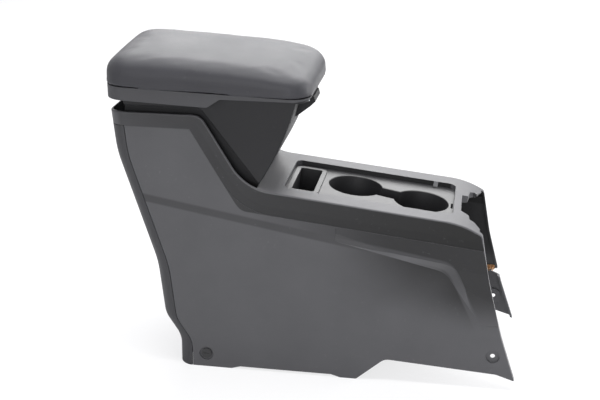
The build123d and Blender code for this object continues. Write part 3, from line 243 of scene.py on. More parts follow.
@dataclass(frozen=True)
class Pattern:
    """One noise of a material, and the span of its values that is spread out."""

    scale: float
    detail: float
    roughness: float
    span: Pair

    def spread(self, tree: NodeTree, space: NodeSocket, *ends: Pair) -> list[NodeSocket]:
        """Adds the noise, with its span spread to each pair of end values.

        Args:
            tree: Node tree of the material.
            space: Coordinates of the noise.
            *ends: Values at the span's two ends.

        Returns:
            One socket for each pair.
        """
        cells = add_node(
            tree, "ShaderNodeTexNoise", Vector=space, Scale=self.scale, Detail=self.detail, Roughness=self.roughness
        )
        spreads = []
        for low, high in ends:
            spread = add_node(
                tree, "ShaderNodeMapRange", Value=cells.outputs["Fac"], From_Min=self.span[0], From_Max=self.span[1],
                To_Min=low, To_Max=high,
            )
            spreads.append(spread.outputs["Result"])
        return spreads


# The slow change of tone and gloss over a moulding
CLOUD = Pattern(14.0, 4.0, 0.6, (0.3, 0.7))
# Wear: scratches in a stretched space, fine dots, and the patches that the two are found in
SCRATCHES = Pattern(1.6, 6.0, 0.7, (0.62, 0.76))
DOTS = Pattern(180.0, 2.0, 0.5, (0.66, 0.76))
PATCHES = Pattern(9.0, 2.0, 0.5, (0.42, 0.7))


@dataclass(frozen=True)
class Finish:
    """One real material, from which a Blender material is made. The defaults are a pebbled moulding's."""

    name: str
    colour: str
    grain: Grain
    roughness: float
    gloss: float = 0.5
    grain_mm: float = 0.9
    bump_mm: float = 0.05
    ior: float = 1.5
    metallic: float = 0.0
    scuff: float = 0.0
    scuff_colour: str = "#8a8a8c"
    scuff_dulls: float = 0.3
    scratch_scale: Triple = (26.0, 26.0, 150.0)
    scratch_turn: Triple = (0.2, 0.5, 0.1)
    shade: float = 0.06
    rough_swing: float = 0.04
    edge_mm: float = 0.5
    seam_width: float = 0.35
    painted_side_shade: PaintedSideShade | None = None

    def build(self) -> Material:
        """Makes the material's nodes.

        Returns:
            The material, on Object coordinates.
        """
        material = bpy.data.materials.new(self.name)
        material.use_nodes = True
        tree = material.node_tree
        tree.nodes.clear()
        place = add_node(tree, "ShaderNodeTexCoord").outputs["Object"]
        tones = (1.0 - self.shade, 1.0 + self.shade)
        depth, rough = CLOUD.spread(
            tree, place, tones, (self.roughness - self.rough_swing, self.roughness + self.rough_swing)
        )
        # Darkens the colour by the side walls' painted shade
        if self.painted_side_shade is not None:
            share = self.painted_side_shade.share(tree, place)
            depth = add_node(tree, "ShaderNodeMath", "MULTIPLY", i0=depth, i1=share).outputs[0]
        toned = {"data_type": "RGBA", "blend_type": "MULTIPLY"}
        colour = add_node(tree, "ShaderNodeMix", toned, i0=1.0, i6=linear(self.colour), i7=depth).outputs[2]
        if self.scuff > 0:
            colour, rough = self._scuffs(tree, place, colour, rough)
        shader = add_node(tree, "ShaderNodeBsdfPrincipled", Base_Color=colour, Roughness=rough)
        shader.inputs["IOR"].default_value = self.ior
        shader.inputs["Metallic"].default_value = self.metallic
        shader.inputs["Specular IOR Level"].default_value = self.gloss
        tree.links.new(self._relief(tree, place), shader.inputs["Normal"])
        add_node(tree, "ShaderNodeOutputMaterial", Surface=shader.outputs["BSDF"])
        return material

    def _scuffs(
        self, tree: NodeTree, place: NodeSocket, colour: NodeSocket, rough: NodeSocket
    ) -> tuple[NodeSocket, NodeSocket]:
        """Adds faint rubbed patches and short scratches.

        Args:
            tree: Node tree of the material.
            place: Object coordinates.
            colour: Colour before the wear.
            rough: Roughness before the wear.

        Returns:
            Colour and roughness with the wear.
        """
        stretched = add_node(
            tree, "ShaderNodeMapping", Vector=place, Scale=self.scratch_scale, Rotation=self.scratch_turn
        ).outputs[0]
        scratches, dots, patches = [
            pattern.spread(tree, space, (0.0, 1.0))[0]
            for pattern, space in ((SCRATCHES, stretched), (DOTS, place), (PATCHES, place))
        ]
        amount = scratches
        for operation, other in (("MAXIMUM", dots), ("MULTIPLY", patches), ("MULTIPLY", self.scuff)):
            amount = add_node(tree, "ShaderNodeMath", operation, i0=amount, i1=other).outputs[0]
        worn = add_node(
            tree, "ShaderNodeMix", {"data_type": "RGBA"}, i0=amount, i6=colour, i7=linear(self.scuff_colour)
        )
        rubbed = add_node(tree, "ShaderNodeMath", "MULTIPLY_ADD", i0=amount, i1=self.scuff_dulls, i2=rough)
        return worn.outputs[2], rubbed.outputs[0]

    def _relief(self, tree: NodeTree, place: NodeSocket) -> NodeSocket:
        """Makes the surface's relief, over edges that are very slightly rounded.

        Args:
            tree: Node tree of the material.
            place: Object coordinates.

        Returns:
            The normal.
        """
        edge = add_node(tree, "ShaderNodeBevel", {"samples": 6}, Radius=self.edge_mm * MM).outputs[0]
        scale = 1.0 / (self.grain_mm * MM)
        if self.grain is Grain.HIDE:
            cells = add_node(tree, "ShaderNodeTexVoronoi", {"feature": "DISTANCE_TO_EDGE"}, Vector=place, Scale=scale)
            height = add_node(
                tree, "ShaderNodeMapRange", Value=cells.outputs["Distance"], From_Min=0.0, From_Max=self.seam_width
            ).outputs["Result"]
        elif self.grain is Grain.PEBBLE:
            cells = add_node(tree, "ShaderNodeTexVoronoi", {"feature": "SMOOTH_F1"}, Vector=place, Scale=scale)
            height = cells.outputs["Distance"]
        else:
            height = add_node(tree, "ShaderNodeTexNoise", Vector=place, Scale=scale, Detail=3.0).outputs["Fac"]
        bump = add_node(tree, "ShaderNodeBump", Height=height, Normal=edge, Distance=self.bump_mm * MM, Strength=1.0)
        return bump.outputs[0]


# ABS with a pebbled mould texture: dull from the front, with a soft grey glare where light grazes it. Its side walls
# carry painted shade under the rail and in the scoop
BODY_ABS = Finish(
    "pebbled_abs_body", "#525255", Grain.PEBBLE, roughness=0.46, gloss=0.3, scuff=0.16, scuff_colour="#77787b",
    painted_side_shade=PaintedSideShade(),
)
# The same ABS on the rear cover, without the body's painted side shade
COVER_ABS = Finish(
    "pebbled_abs_cover", "#3b3b3e", Grain.PEBBLE, roughness=0.52, gloss=0.3, scuff=0.12, scuff_colour="#707174"
)
# A darker ABS on the box and the lid's inner panel. Its colour is also darkened as painted shade for the cheeks under
# the rail, so it stays nearly black in the gaps
BOX_ABS = Finish(
    "pebbled_abs_box", "#29292b", Grain.PEBBLE, roughness=0.55, gloss=0.2, scuff=0.08, scuff_colour="#5c5c5e"
)
# The lid's hard lower shell: near the body's colour, a little duller
SHELL_ABS = Finish("pebbled_abs_shell", "#434346", Grain.PEBBLE, roughness=0.55, gloss=0.35, scuff=0.08)
# Blasted polypropylene: smoother than the body, so the tray takes a clearer glare from overhead
TRAY_PP = Finish(
    "blasted_pp_tray", "#29292b", Grain.SATIN, roughness=0.42, gloss=0.55, grain_mm=0.7, bump_mm=0.03, scuff=0.1,
    scuff_colour="#6a6b6e",
)
# Nitrile rubber mats: matt and nearly black
MAT_RUBBER = Finish(
    "nitrile_rubber_mat", "#1b1b1c", Grain.SATIN, roughness=0.8, gloss=0.3, grain_mm=0.6, bump_mm=0.04, ior=1.52
)
# Zinc-plated pressed steel: pale grey with a faint blue tone
ZINC_STEEL = Finish(
    "zinc_plated_steel", "#a9acb0", Grain.PLAIN, roughness=0.34, grain_mm=1.4, bump_mm=0.01, metallic=1.0, shade=0.1
)
# Black-phosphated spring steel of the clips: dark, with a dull metal glint on its bends
CLIP_STEEL = Finish(
    "phosphated_spring_steel", "#3c3c3e", Grain.PLAIN, roughness=0.45, grain_mm=1.0, bump_mm=0.01, metallic=1.0,
    shade=0.1,
)
# Nylon 66 fasteners: dark, a little shiny
NYLON = Finish("nylon_fastener", "#242426", Grain.SATIN, roughness=0.38, grain_mm=0.8, bump_mm=0.02, ior=1.53)
# Acetal harness clip: tan
ACETAL = Finish("tan_acetal_clip", "#b98a5c", Grain.SATIN, roughness=0.4, grain_mm=0.8, bump_mm=0.02, ior=1.48)
# Expanded vinyl with an embossed hide grain: a soft sheen on the crown and at the pulled edges
VINYL = Finish(
    "grained_vinyl_cover", "#3e3e42", Grain.HIDE, roughness=0.45, gloss=0.21, grain_mm=1.5, bump_mm=0.07, scuff=0.1,
    shade=0.05,
)


@dataclass
class MaterialShelf:
    """Keeps one Blender material for each finish, so that pieces of one material share it."""

    made: dict[str, Material] = field(default_factory=dict)

    def get(self, finish: Finish) -> Material:
        """Gives the material of a finish, and makes it the first time.

        Args:
            finish: The finish that is asked for.

        Returns:
            Its material.
        """
        if finish.name not in self.made:
            self.made[finish.name] = finish.build()
        return self.made[finish.name]

    def dress(self, nodes: dict[str, Object], finishes: dict[str, Finish]) -> None:
        """Gives CAD nodes their materials.

        Args:
            nodes: CAD nodes by name.
            finishes: Finish of each node that is dressed.
        """
        for name, finish in finishes.items():
            node = nodes[name]
            if not node.material_slots:
                node.data.materials.append(None)
            for slot in node.material_slots:
                slot.material = self.get(finish)


def placed(name: str, data: ID) -> Object:
    """Makes an object at the origin.

    Args:
        name: Name of the object.
        data: Its mesh, curve, lamp or camera.

    Returns:
        The object, linked to the scene.
    """
    thing = bpy.data.objects.new(name, data)
    bpy.context.scene.collection.objects.link(thing)
    return thing


def mesh_object(
    name: str, points: Sequence[Sequence[float]], faces: Sequence[Sequence[int]], material: Material
) -> Object:
    """Makes a mesh object at the origin.

    Args:
        name: Name of the piece.
        points: Vertices in metres, in the row frame.
        faces: Faces as indices of the vertices.
        material: Material of every face.

    Returns:
        The object, linked to the scene.
    """
    mesh = bpy.data.meshes.new(name)
    mesh.from_pydata([tuple(p) for p in points], [], [tuple(f) for f in faces])
    mesh.materials.append(material)
    mesh.validate()
    return placed(name, mesh)


def baked(thing: Object) -> Object:
    """Turns an object with live modifiers into a plain mesh.

    Args:
        thing: Object whose modifiers are applied.

    Returns:
        The same object, with the evaluated mesh and no modifiers.
    """
    graph = bpy.context.evaluated_depsgraph_get()
    graph.update()
    mesh = bpy.data.meshes.new_from_object(thing.evaluated_get(graph), depsgraph=graph)
    materials = [slot.material for slot in thing.material_slots]
    thing.modifiers.clear()
    thing.data = mesh
    if not mesh.materials:
        for material in materials:
            mesh.materials.append(material)
    return thing


def sized_tree(name: str, sizes: Sequence[str]) -> tuple[GeometryNodeTree, bpy_prop_collection]:
    """Starts a geometry node tree whose inputs are a geometry, named sizes and a finish.

    Args:
        name: Name of the tree.
        sizes: Names of the sizes.

    Returns:
        The tree, and the outputs of its input node.
    """
    group = bpy.data.node_groups.new(name, "GeometryNodeTree")
    face = group.interface
    face.new_socket("Geometry", in_out="INPUT", socket_type="NodeSocketGeometry")
    for size in sizes:
        face.new_socket(size, in_out="INPUT", socket_type="NodeSocketFloat")
    face.new_socket("Finish", in_out="INPUT", socket_type="NodeSocketMaterial")
    face.new_socket("Geometry", in_out="OUTPUT", socket_type="NodeSocketGeometry")
    return group, add_node(group, "NodeGroupInput").outputs


def put_out(group: GeometryNodeTree, copies: NodeSocket, finish: NodeSocket) -> None:
    """Ends a geometry node tree: its copies become real meshes of one finish.

    Args:
        group: The tree.
        copies: Instances to put out.
        finish: Material of the copies.
    """
    real = add_node(group, "GeometryNodeRealizeInstances", Geometry=copies).outputs["Geometry"]
    dressed = add_node(group, "GeometryNodeSetMaterial", Geometry=real, Material=finish).outputs["Geometry"]
    add_node(group, "NodeGroupOutput", Geometry=dressed)


def grown(thing: Object, tree: GeometryNodeTree, values: dict[str, object]) -> Object:
    """Runs a geometry node tree on an object, with its inputs set by their identifiers.

    Args:
        thing: Object that takes the mesh.
        tree: The tree.
        values: Values by the inputs' names.

    Returns:
        The same object, as a plain mesh.
    """
    modifier = thing.modifiers.new(tree.name, "NODES")
    modifier.node_group = tree
    for item in tree.interface.items_tree:
        if item.in_out == "INPUT" and item.name in values:
            modifier[item.identifier] = values[item.name]
    return baked(thing)


def smooth(thing: Object) -> None:
    """Shades a mesh object smooth."""
    thing.data.polygons.foreach_set("use_smooth", [True] * len(thing.data.polygons))


@dataclass
class ArmrestCushion:
    """The padded lid top: foam in a vinyl cover, lofted in rings and puffed by a short cloth simulation.

    Falls are how far the crown drops, insets are distances inwards from the outline, and the rim is the
    lower edge of the side, which is pushed out to the outline and draped over the shell's edge.
    """

    node: str = "lid_cushion"
    body: str = "lid"
    outline_steps: int = 24
    straight_steps: int = 8
    corner_mm: float = 34.0
    tight_mm: float = 2.0
    roll_side_mm: float = 15.0
    roll_rear_mm: float = 24.0
    side_fall_mm: float = 3.0
    side_power: float = 2.5
    waist_fall_mm: float = 1.5
    waist_x_mm: float = -125.0
    waist_reach_mm: float = 130.0
    slow_fall_mm: float = 17.0
    slow_power: float = 2.2
    nose_fall_mm: float = 12.0
    nose_power: int = 10
    settled_mm: float = 5.0
    seat_slope: float = 0.03
    seat_front_mm: float = 424.5
    tuck_mm: float = 1.2
    draw_in_mm: float = 0.9
    under_insets_mm: tuple[float, ...] = (60.0, 30.0)
    side_shares: tuple[float, ...] = (0.12, 0.3, 0.55, 0.8)
    crown_insets_mm: tuple[float, ...] = (0.0, 0.4, 1.2, 2.6, 4.6, 7.5, 11.0, 15.0, 20.0, 26.0, 32.0, 45.0, 60.0, 78.0)
    voxel_mm: float = 4.0
    even_steps: int = 4
    pressure: float = 4.0
    stretch: float = 40.0
    bending: float = 4.0
    frames: int = 20
    cap_mm: float = 1.2
    held_mm: float = 6.0
    ease_steps: int = 16
    stiff_share: float = 0.3
    rim_inset_mm: float = 2.0
    rim_fade_mm: float = 4.0
    rim_rise_mm: float = 6.0
    rim_share: float = 1.6
    drape_mm: float = 2.0
    drape_inset_mm: float = 2.8
    drape_fade_mm: float = 0.8
    drape_rise_mm: float = 7.0
    crease_mm: float = 0.4
    crease_at: float = 0.93
    crease_reach: float = 0.09
    crease_scale: Triple = (0.011, 0.05, 0.03)

    def build(self, shelf: MaterialShelf) -> Object:
        """Makes the cushion in the space of its CAD solid.

        Args:
            shelf: The materials.

        Returns:
            The finished cushion.
        """
        pad = self._blank(shelf.get(VINYL))
        self._puff(pad)
        self._finish(pad)
        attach(pad, self.body)
        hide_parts(self.node)
        return pad

    def _outline(self, inset: float) -> np.ndarray:
        """Rounded rectangle of the cushion seen from above, drawn in by an inset in millimetres."""
        low, high = (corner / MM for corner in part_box(self.node))
        middle = (low.x + high.x) / 2
        drawn = min(inset, self.corner_mm - self.tight_mm)
        half = np.array([(high.x - low.x) / 2, high.y]) - self.draw_in_mm - drawn
        radius = self.corner_mm - drawn
        arcs = []
        for quarter, sign in enumerate(((1, 1), (-1, 1), (-1, -1), (1, -1))):
            turns = (quarter + np.linspace(0, 1, self.outline_steps)) * math.pi / 2
            arcs.append(np.array(sign) * (half - radius) + radius * np.stack([np.cos(turns), np.sin(turns)], 1))
        runs = []
        for arc, following in zip(arcs, arcs[1:] + arcs[:1]):
            straight = np.linspace(arc[-1], following[0], self.straight_steps, endpoint=False)
            runs += [arc[:-1], straight]
        ring = np.concatenate(runs)
        share = max(0.0, (inset - self.corner_mm + self.tight_mm) / (half[1] + 1e-9))
        spine = np.stack([np.clip(ring[:, 0], -half[0] + half[1], half[0] - half[1]), np.zeros(len(ring))], 1)
        ring = ring + (spine - ring) * min(1.0, share)
        return ring + np.array([middle, 0])

    def _crown(self, ring: np.ndarray, inset: float) -> np.ndarray:
        """Height of the top at the points of a ring, in millimetres."""
        low, high = (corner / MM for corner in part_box(self.node))
        along = (ring[:, 0] - low.x) / (high.x - low.x)
        fall = self.slow_fall_mm * along**self.slow_power + self.nose_fall_mm * along**self.nose_power
        fall = fall - self.settled_mm * ring[:, 1] / high.y
        waist = np.clip(1 - ((ring[:, 0] - self.waist_x_mm) / self.waist_reach_mm) ** 2, 0, 1)
        side = (self.side_fall_mm + self.waist_fall_mm * waist) * (np.abs(ring[:, 1]) / high.y) ** self.side_power
        rear = np.clip(1 - (ring[:, 0] - inset - low.x) / self.corner_mm, 0, 1)
        roll = self.roll_side_mm + (self.roll_rear_mm - self.roll_side_mm) * rear
        reach = np.clip(roll - inset, 0, roll)
        return high.z - self.cap_mm * 0.5 - fall - side - (roll - np.sqrt(roll**2 - reach**2))

    def _seat(self, points: np.ndarray) -> np.ndarray:
        """Height of the lid shell's top under points in millimetres."""
        return self.seat_front_mm - self.seat_slope * points[:, 0]

    def _read(self, pad: Object) -> tuple[np.ndarray, np.ndarray]:
        """Points of the pad, and their heights over the lid shell, in millimetres."""
        points = np.array([v.co for v in pad.data.vertices])
        lifted = points[:, 2] - self._seat(points / MM) * MM
        return points / MM, lifted / MM

    def _write(self, pad: Object, points: np.ndarray) -> None:
        """Moves the pad's vertices to points in millimetres."""
        pad.data.vertices.foreach_set("co", (points * MM).ravel())
        pad.data.update()

    def _group(self, pad: Object, name: str, weights: np.ndarray) -> None:
        """Adds a vertex group with a weight for each vertex."""
        group = pad.vertex_groups.new(name=name)
        for index, weight in enumerate(weights):
            if weight > 0:
                group.add([index], float(weight), "REPLACE")

    def _blank(self, finish: Material) -> Object:
        """Lofts the foam block in rings from its underside over its side to its crown."""
        rings = []
        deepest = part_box(self.node)[1].y / MM + self.corner_mm
        for inset in (deepest, *self.under_insets_mm, self.tuck_mm):
            ring = self._outline(inset)
            rings.append(np.column_stack([ring, self._seat(ring)]))
        for share in self.side_shares:
            ring = self._outline(self.tuck_mm * (1 - share) ** 3)
            foot, shoulder = self._seat(ring), self._crown(ring, 0.0)
            rings.append(np.column_stack([ring, foot + (shoulder - foot) * share]))
        for inset in (*self.crown_insets_mm, deepest):
            ring = self._outline(inset)
            rings.append(np.column_stack([ring, self._crown(ring, inset)]))
        count = len(rings[0])
        points = np.concatenate(rings) * MM
        faces = [
            (i * count + j, i * count + (j + 1) % count, (i + 1) * count + (j + 1) % count, (i + 1) * count + j)
            for i in range(len(rings) - 1)
            for j in range(count)
        ]
        pad = mesh_object("armrest_cushion", points, faces, finish)
        merge = pad.modifiers.new("merge", "WELD")
        merge.merge_threshold = 0.05 * MM
        remesh = pad.modifiers.new("even", "REMESH")
        remesh.mode = "VOXEL"
        remesh.voxel_size = self.voxel_mm * MM
        even = pad.modifiers.new("steps", "SMOOTH")
        even.factor = 0.5
        even.iterations = self.even_steps
        return baked(pad)

    def _inset(self, points: np.ndarray) -> tuple[np.ndarray, np.ndarray]:
        """Distance of points from the cushion's outline, inwards, and the way out to it.

        Args:
            points: Points in millimetres.

        Returns:
            The distances, and unit vectors in the plane.
        """
        low, high = (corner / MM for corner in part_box(self.node))
        half = np.array([(high.x - low.x) / 2, high.y])
        side = points[:, :2] - np.array([(low.x + high.x) / 2, 0])
        past = np.abs(side) - (half - self.corner_mm)
        reach = np.maximum(past, 0)
        length = np.linalg.norm(reach, axis=1)
        away = np.sign(side) * reach / np.maximum(length, 1e-9)[:, None]
        return self.corner_mm - length - np.minimum(past.max(1), 0), away

    def _puff(self, pad: Object) -> None:
        """Lets the cover swell over its foam, with the tucked underside held."""
        rest, height = self._read(pad)
        self._group(pad, "tucked", np.clip(2.0 - height / self.held_mm, 0, 1))
        cloth = pad.modifiers.new("cloth", "CLOTH")
        cloth.settings.effector_weights.gravity = 0
        cloth.settings.use_pressure = True
        cloth.settings.uniform_pressure_force = self.pressure
        cloth.settings.vertex_group_mass = "tucked"
        cloth.settings.tension_stiffness = self.stretch
        cloth.settings.compression_stiffness = self.stretch
        cloth.settings.bending_stiffness = self.bending
        cloth.collision_settings.use_collision = False
        scene = bpy.context.scene
        for number in range(1, self.frames + 1):
            scene.frame_set(number)
        moved = self._read(pad.evaluated_get(bpy.context.evaluated_depsgraph_get()))[0] - rest
        share = np.minimum(1.0, self.cap_mm / np.maximum(np.linalg.norm(moved, axis=1), 1e-6))
        pad.modifiers.clear()
        scene.frame_set(1)
        self._write(pad, rest + moved * share[:, None])

    def _finish(self, pad: Object) -> None:
        """Eases the cover, drapes its rim, adds faint creases along its roll and subdivides it."""
        self._group(pad, "free", np.clip(self._read(pad)[1] / self.held_mm - self.stiff_share, 0, 1))
        ease = pad.modifiers.new("ease", "SMOOTH")
        ease.factor = 0.5
        ease.iterations = self.ease_steps
        ease.vertex_group = "free"
        baked(pad)
        self._drape(pad)
        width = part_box(self.node)[1].y
        for vertex in pad.data.vertices:
            roll = max(0.0, 1 - abs(abs(vertex.co.y) / width - self.crease_at) / self.crease_reach)
            depth = noise.noise(Vector([place / scale for place, scale in zip(vertex.co, self.crease_scale)]))
            vertex.co += vertex.normal * (depth * roll * self.crease_mm * MM)
        fine = pad.modifiers.new("fine", "SUBSURF")
        fine.levels = fine.render_levels = 1
        baked(pad)
        pad.vertex_groups.clear()
        smooth(pad)

    def _drape(self, pad: Object) -> None:
        """Pushes the rim out to the outline and lets its outermost part hang over the shell's edge."""
        points, height = self._read(pad)
        inset, away = self._inset(points)
        near = np.clip(1 - (inset - self.rim_inset_mm) / self.rim_fade_mm, 0, 1)
        near *= np.clip(self.rim_share - height / self.rim_rise_mm, 0, 1)
        push = np.clip(inset - self.draw_in_mm, 0, None) * near
        points[:, :2] += away * push[:, None]
        outer = np.clip((self.drape_inset_mm - (inset - push)) / self.drape_fade_mm, 0, 1)
        points[:, 2] -= self.drape_mm * outer * np.clip(1 - height / self.drape_rise_mm, 0, 1)
        self._write(pad, points)


@dataclass
class LatchSpring:
    """The torsion spring of the latch: a coil round its pin, with one leg up to the inner panel."""

    node: str = "latch_spring"
    wire_mm: float = 0.9
    turns: float = 6.5
    steps: int = 18

    def build(self, finish: Material) -> Object:
        """Makes the coil as a swept curve.

        Args:
            finish: Material of the wire.

        Returns:
            The coil as a mesh.
        """
        low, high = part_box(self.node)
        half_wire = self.wire_mm * MM / 2
        radius = (high.x - low.x) / 2 - half_wire
        centre = Vector(((low.x + high.x) / 2, 0, low.z + (high.x - low.x) / 2))
        span = high.y - low.y - self.wire_mm * MM
        total = int(self.turns * self.steps)
        points = []
        for i in range(total + 1):
            turn = 2 * math.pi * i / self.steps
            y = low.y + half_wire + span * i / total
            points.append((centre.x + radius * math.cos(turn), y, centre.z + radius * math.sin(turn)))
        points.append((centre.x, points[-1][1], high.z - half_wire))
        curve = bpy.data.curves.new("latch_coil", "CURVE")
        curve.dimensions = "3D"
        curve.bevel_depth = half_wire
        curve.bevel_resolution = 2
        curve.use_fill_caps = True
        spline = curve.splines.new("POLY")
        spline.points.add(len(points) - 1)
        for point, place in zip(spline.points, points):
            point.co = (*place, 1.0)
        source = placed("latch_coil", curve)
        graph = bpy.context.evaluated_depsgraph_get()
        mesh = bpy.data.meshes.new_from_object(source.evaluated_get(graph), depsgraph=graph)
        bpy.data.objects.remove(source)
        mesh.materials.clear()
        mesh.materials.append(finish)
        coil = placed("latch_spring_coil", mesh)
        smooth(coil)
        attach(coil, "lid")
        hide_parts(self.node)
        return coil


@dataclass(frozen=True)
class ScrewSeat:
    """Where one screw sits: the underside of its head, the way it points and its sizes."""

    seat: Vector
    axis: Vector
    head_radius: float
    head_height: float
    shank_radius: float
    shank_length: float


def loose_solids(node: Object) -> list[np.ndarray]:
    """Parts the vertices of a CAD node by the solid they belong to.

    Args:
        node: CAD node, whose mesh is left as it is.

    Returns:
        One array of points for each solid.
    """
    copy = bmesh.new()
    copy.from_mesh(node.data)
    bmesh.ops.remove_doubles(copy, verts=copy.verts, dist=1e-6)
    left = set(copy.verts)
    solids = []
    while left:
        edge = [left.pop()]
        found = []
        while edge:
            vertex = edge.pop()
            found.append(tuple(vertex.co))
            for link in vertex.link_edges:
                other = link.other_vert(vertex)
                if other in left:
                    left.remove(other)
                    edge.append(other)
        solids.append(np.array(found))
    copy.free()
    return sorted(solids, key=lambda points: tuple(points.mean(0)))


def screw_seat(points: np.ndarray, rim_share: float = 0.9, step: float = 1e-5) -> ScrewSeat:
    """Reads a screw's place and sizes from the points of its plain solid.

    Args:
        points: The solid's vertices.
        rim_share: Share of the largest radius past which a point belongs to the head.
        step: Least distance of the shank's points below the head, in metres.

    Returns:
        Its seat.
    """
    centroid = points.mean(0)
    middle = (points.min(0) + points.max(0)) / 2
    values, vectors = np.linalg.eigh(np.cov((points - centroid).T))
    axis = vectors[:, 0] if values[2] - values[1] < values[1] - values[0] else vectors[:, 2]
    along = (points - middle) @ axis
    radii = np.linalg.norm(points - centroid - np.outer((points - centroid) @ axis, axis), axis=1)
    rim = radii > rim_share * radii.max()
    if along[rim].mean() < (along.min() + along.max()) / 2:
        axis, along = -axis, -along
    head = along[rim]
    centre = centroid + axis * (head.min() - (centroid - middle) @ axis)
    shank = radii[along < head.min() - step].max()
    return ScrewSeat(
        Vector(centre), Vector(axis), float(radii.max()), float(head.max() - head.min()), float(shank),
        float(head.min() - along.min()),
    )


@dataclass
class PanScrews:
    """Zinc-plated self-tapping screws with domed heads and a hexagon socket.

    The shares are of the head's radius and height, of the shank's radius and of the thread's pitch.
    """

    thread_pitch_mm: float = 1.6
    socket_share: float = 0.42
    crown_share: float = 0.62
    flat_share: float = 0.72
    tip_share: float = 0.45
    root_share: float = 0.8
    thread_shares: Pair = (0.5, 0.84)
    wire_share: float = 0.22
    head_sides: int = 28
    shank_sides: int = 16

    def tree(self) -> GeometryNodeTree:
        """Makes the node tree that puts a threaded screw on each point.

        Returns:
            The tree, with the screw's sizes as named inputs.
        """
        group, sizes = sized_tree(
            "pan_screws", ("Head Radius", "Head Height", "Shank Radius", "Shank Length", "Thread Pitch")
        )
        scaled = []
        for source, share in (
            ("Head Height", 1 - self.crown_share),
            ("Head Height", (1 - self.crown_share) / 2),
            ("Head Height", self.crown_share),
            ("Head Radius", self.flat_share),
            ("Head Radius", self.socket_share),
            ("Shank Radius", self.tip_share),
            ("Shank Radius", self.root_share),
            ("Shank Radius", self.thread_shares[0]),
            ("Shank Radius", self.thread_shares[1]),
            ("Thread Pitch", self.wire_share),
            ("Shank Length", -1.0),
        ):
            part = add_node(group, "ShaderNodeMath", "MULTIPLY", i0=sizes[source], i1=share)
            scaled.append(part.outputs[0])
        rim_height, half_rim, crown_height, flat, socket, tip, root, start, end, wire, below = scaled
        turns = add_node(group, "ShaderNodeMath", "DIVIDE", i0=sizes["Shank Length"], i1=sizes["Thread Pitch"])
        path = add_node(
            group, "GeometryNodeCurveSpiral", Resolution=self.shank_sides, Rotations=turns.outputs[0],
            Start_Radius=start, End_Radius=end, Height=sizes["Shank Length"],
        ).outputs["Curve"]
        profile = add_node(group, "GeometryNodeCurvePrimitiveCircle", Resolution=5, Radius=wire).outputs["Curve"]
        radius, height, length = sizes["Head Radius"], sizes["Head Height"], sizes["Shank Length"]
        crown = {"Vertices": self.head_sides, "Radius_Bottom": radius, "Radius_Top": flat, "Depth": crown_height}
        shank = {"Vertices": self.shank_sides, "Radius_Bottom": tip, "Radius_Top": root, "Depth": length}
        lifted = []
        for kind, base, values in (
            ("MeshCylinder", half_rim, {"Vertices": self.head_sides, "Radius": radius, "Depth": rim_height}),
            ("MeshCone", rim_height, crown),
            ("MeshCylinder", height, {"Vertices": 6, "Radius": socket, "Depth": height}),
            ("MeshCone", below, shank),
            ("CurveToMesh", below, {"Curve": path, "Profile_Curve": profile}),
        ):
            part = add_node(group, "GeometryNode" + kind, **values).outputs["Mesh"]
            offset = add_node(group, "ShaderNodeCombineXYZ", Z=base).outputs[0]
            lifted.append(add_node(group, "GeometryNodeTransform", Geometry=part, Translation=offset).outputs[0])
        head = add_node(group, "GeometryNodeJoinGeometry")
        for part in lifted[:2]:
            group.links.new(part, head.inputs[0])
        cut = add_node(group, "GeometryNodeMeshBoolean", "DIFFERENCE", Mesh_1=head.outputs[0], Mesh_2=lifted[2])
        whole = add_node(group, "GeometryNodeJoinGeometry")
        for part in (cut.outputs["Mesh"], *lifted[3:]):
            group.links.new(part, whole.inputs[0])
        way = add_node(group, "GeometryNodeInputNamedAttribute", {"data_type": "FLOAT_VECTOR"}, Name="way")
        turn = add_node(group, "FunctionNodeAlignRotationToVector", {"axis": "Z"}, Vector=way.outputs["Attribute"])
        copies = add_node(
            group, "GeometryNodeInstanceOnPoints", Points=sizes["Geometry"], Instance=whole.outputs[0],
            Rotation=turn.outputs["Rotation"],
        )
        put_out(group, copies.outputs["Instances"], sizes["Finish"])
        return group

    def build(self, node: Object, body: str, material: Material) -> Object:
        """Replaces one node's plain screws by threaded ones.

        Args:
            node: CAD node of the screws.
            body: Body the screws ride on.
            material: Finish of the screws.

        Returns:
            The screws as one mesh.
        """
        seats = [screw_seat(points) for points in loose_solids(node)]
        name = node.name + "_threaded"
        mesh = bpy.data.meshes.new(name)
        mesh.from_pydata([tuple(s.seat) for s in seats], [], [])
        way = mesh.attributes.new("way", "FLOAT_VECTOR", "POINT")
        way.data.foreach_set("vector", [c for s in seats for c in s.axis])
        screws = placed(name, mesh)
        first = seats[0]
        values = {
            "Head Radius": first.head_radius,
            "Head Height": first.head_height,
            "Shank Radius": first.shank_radius,
            "Shank Length": first.shank_length,
            "Thread Pitch": self.thread_pitch_mm * MM,
            "Finish": material,
        }
        grown(screws, self.tree(), values)
        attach(screws, body)
        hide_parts(node.name)
        return screws


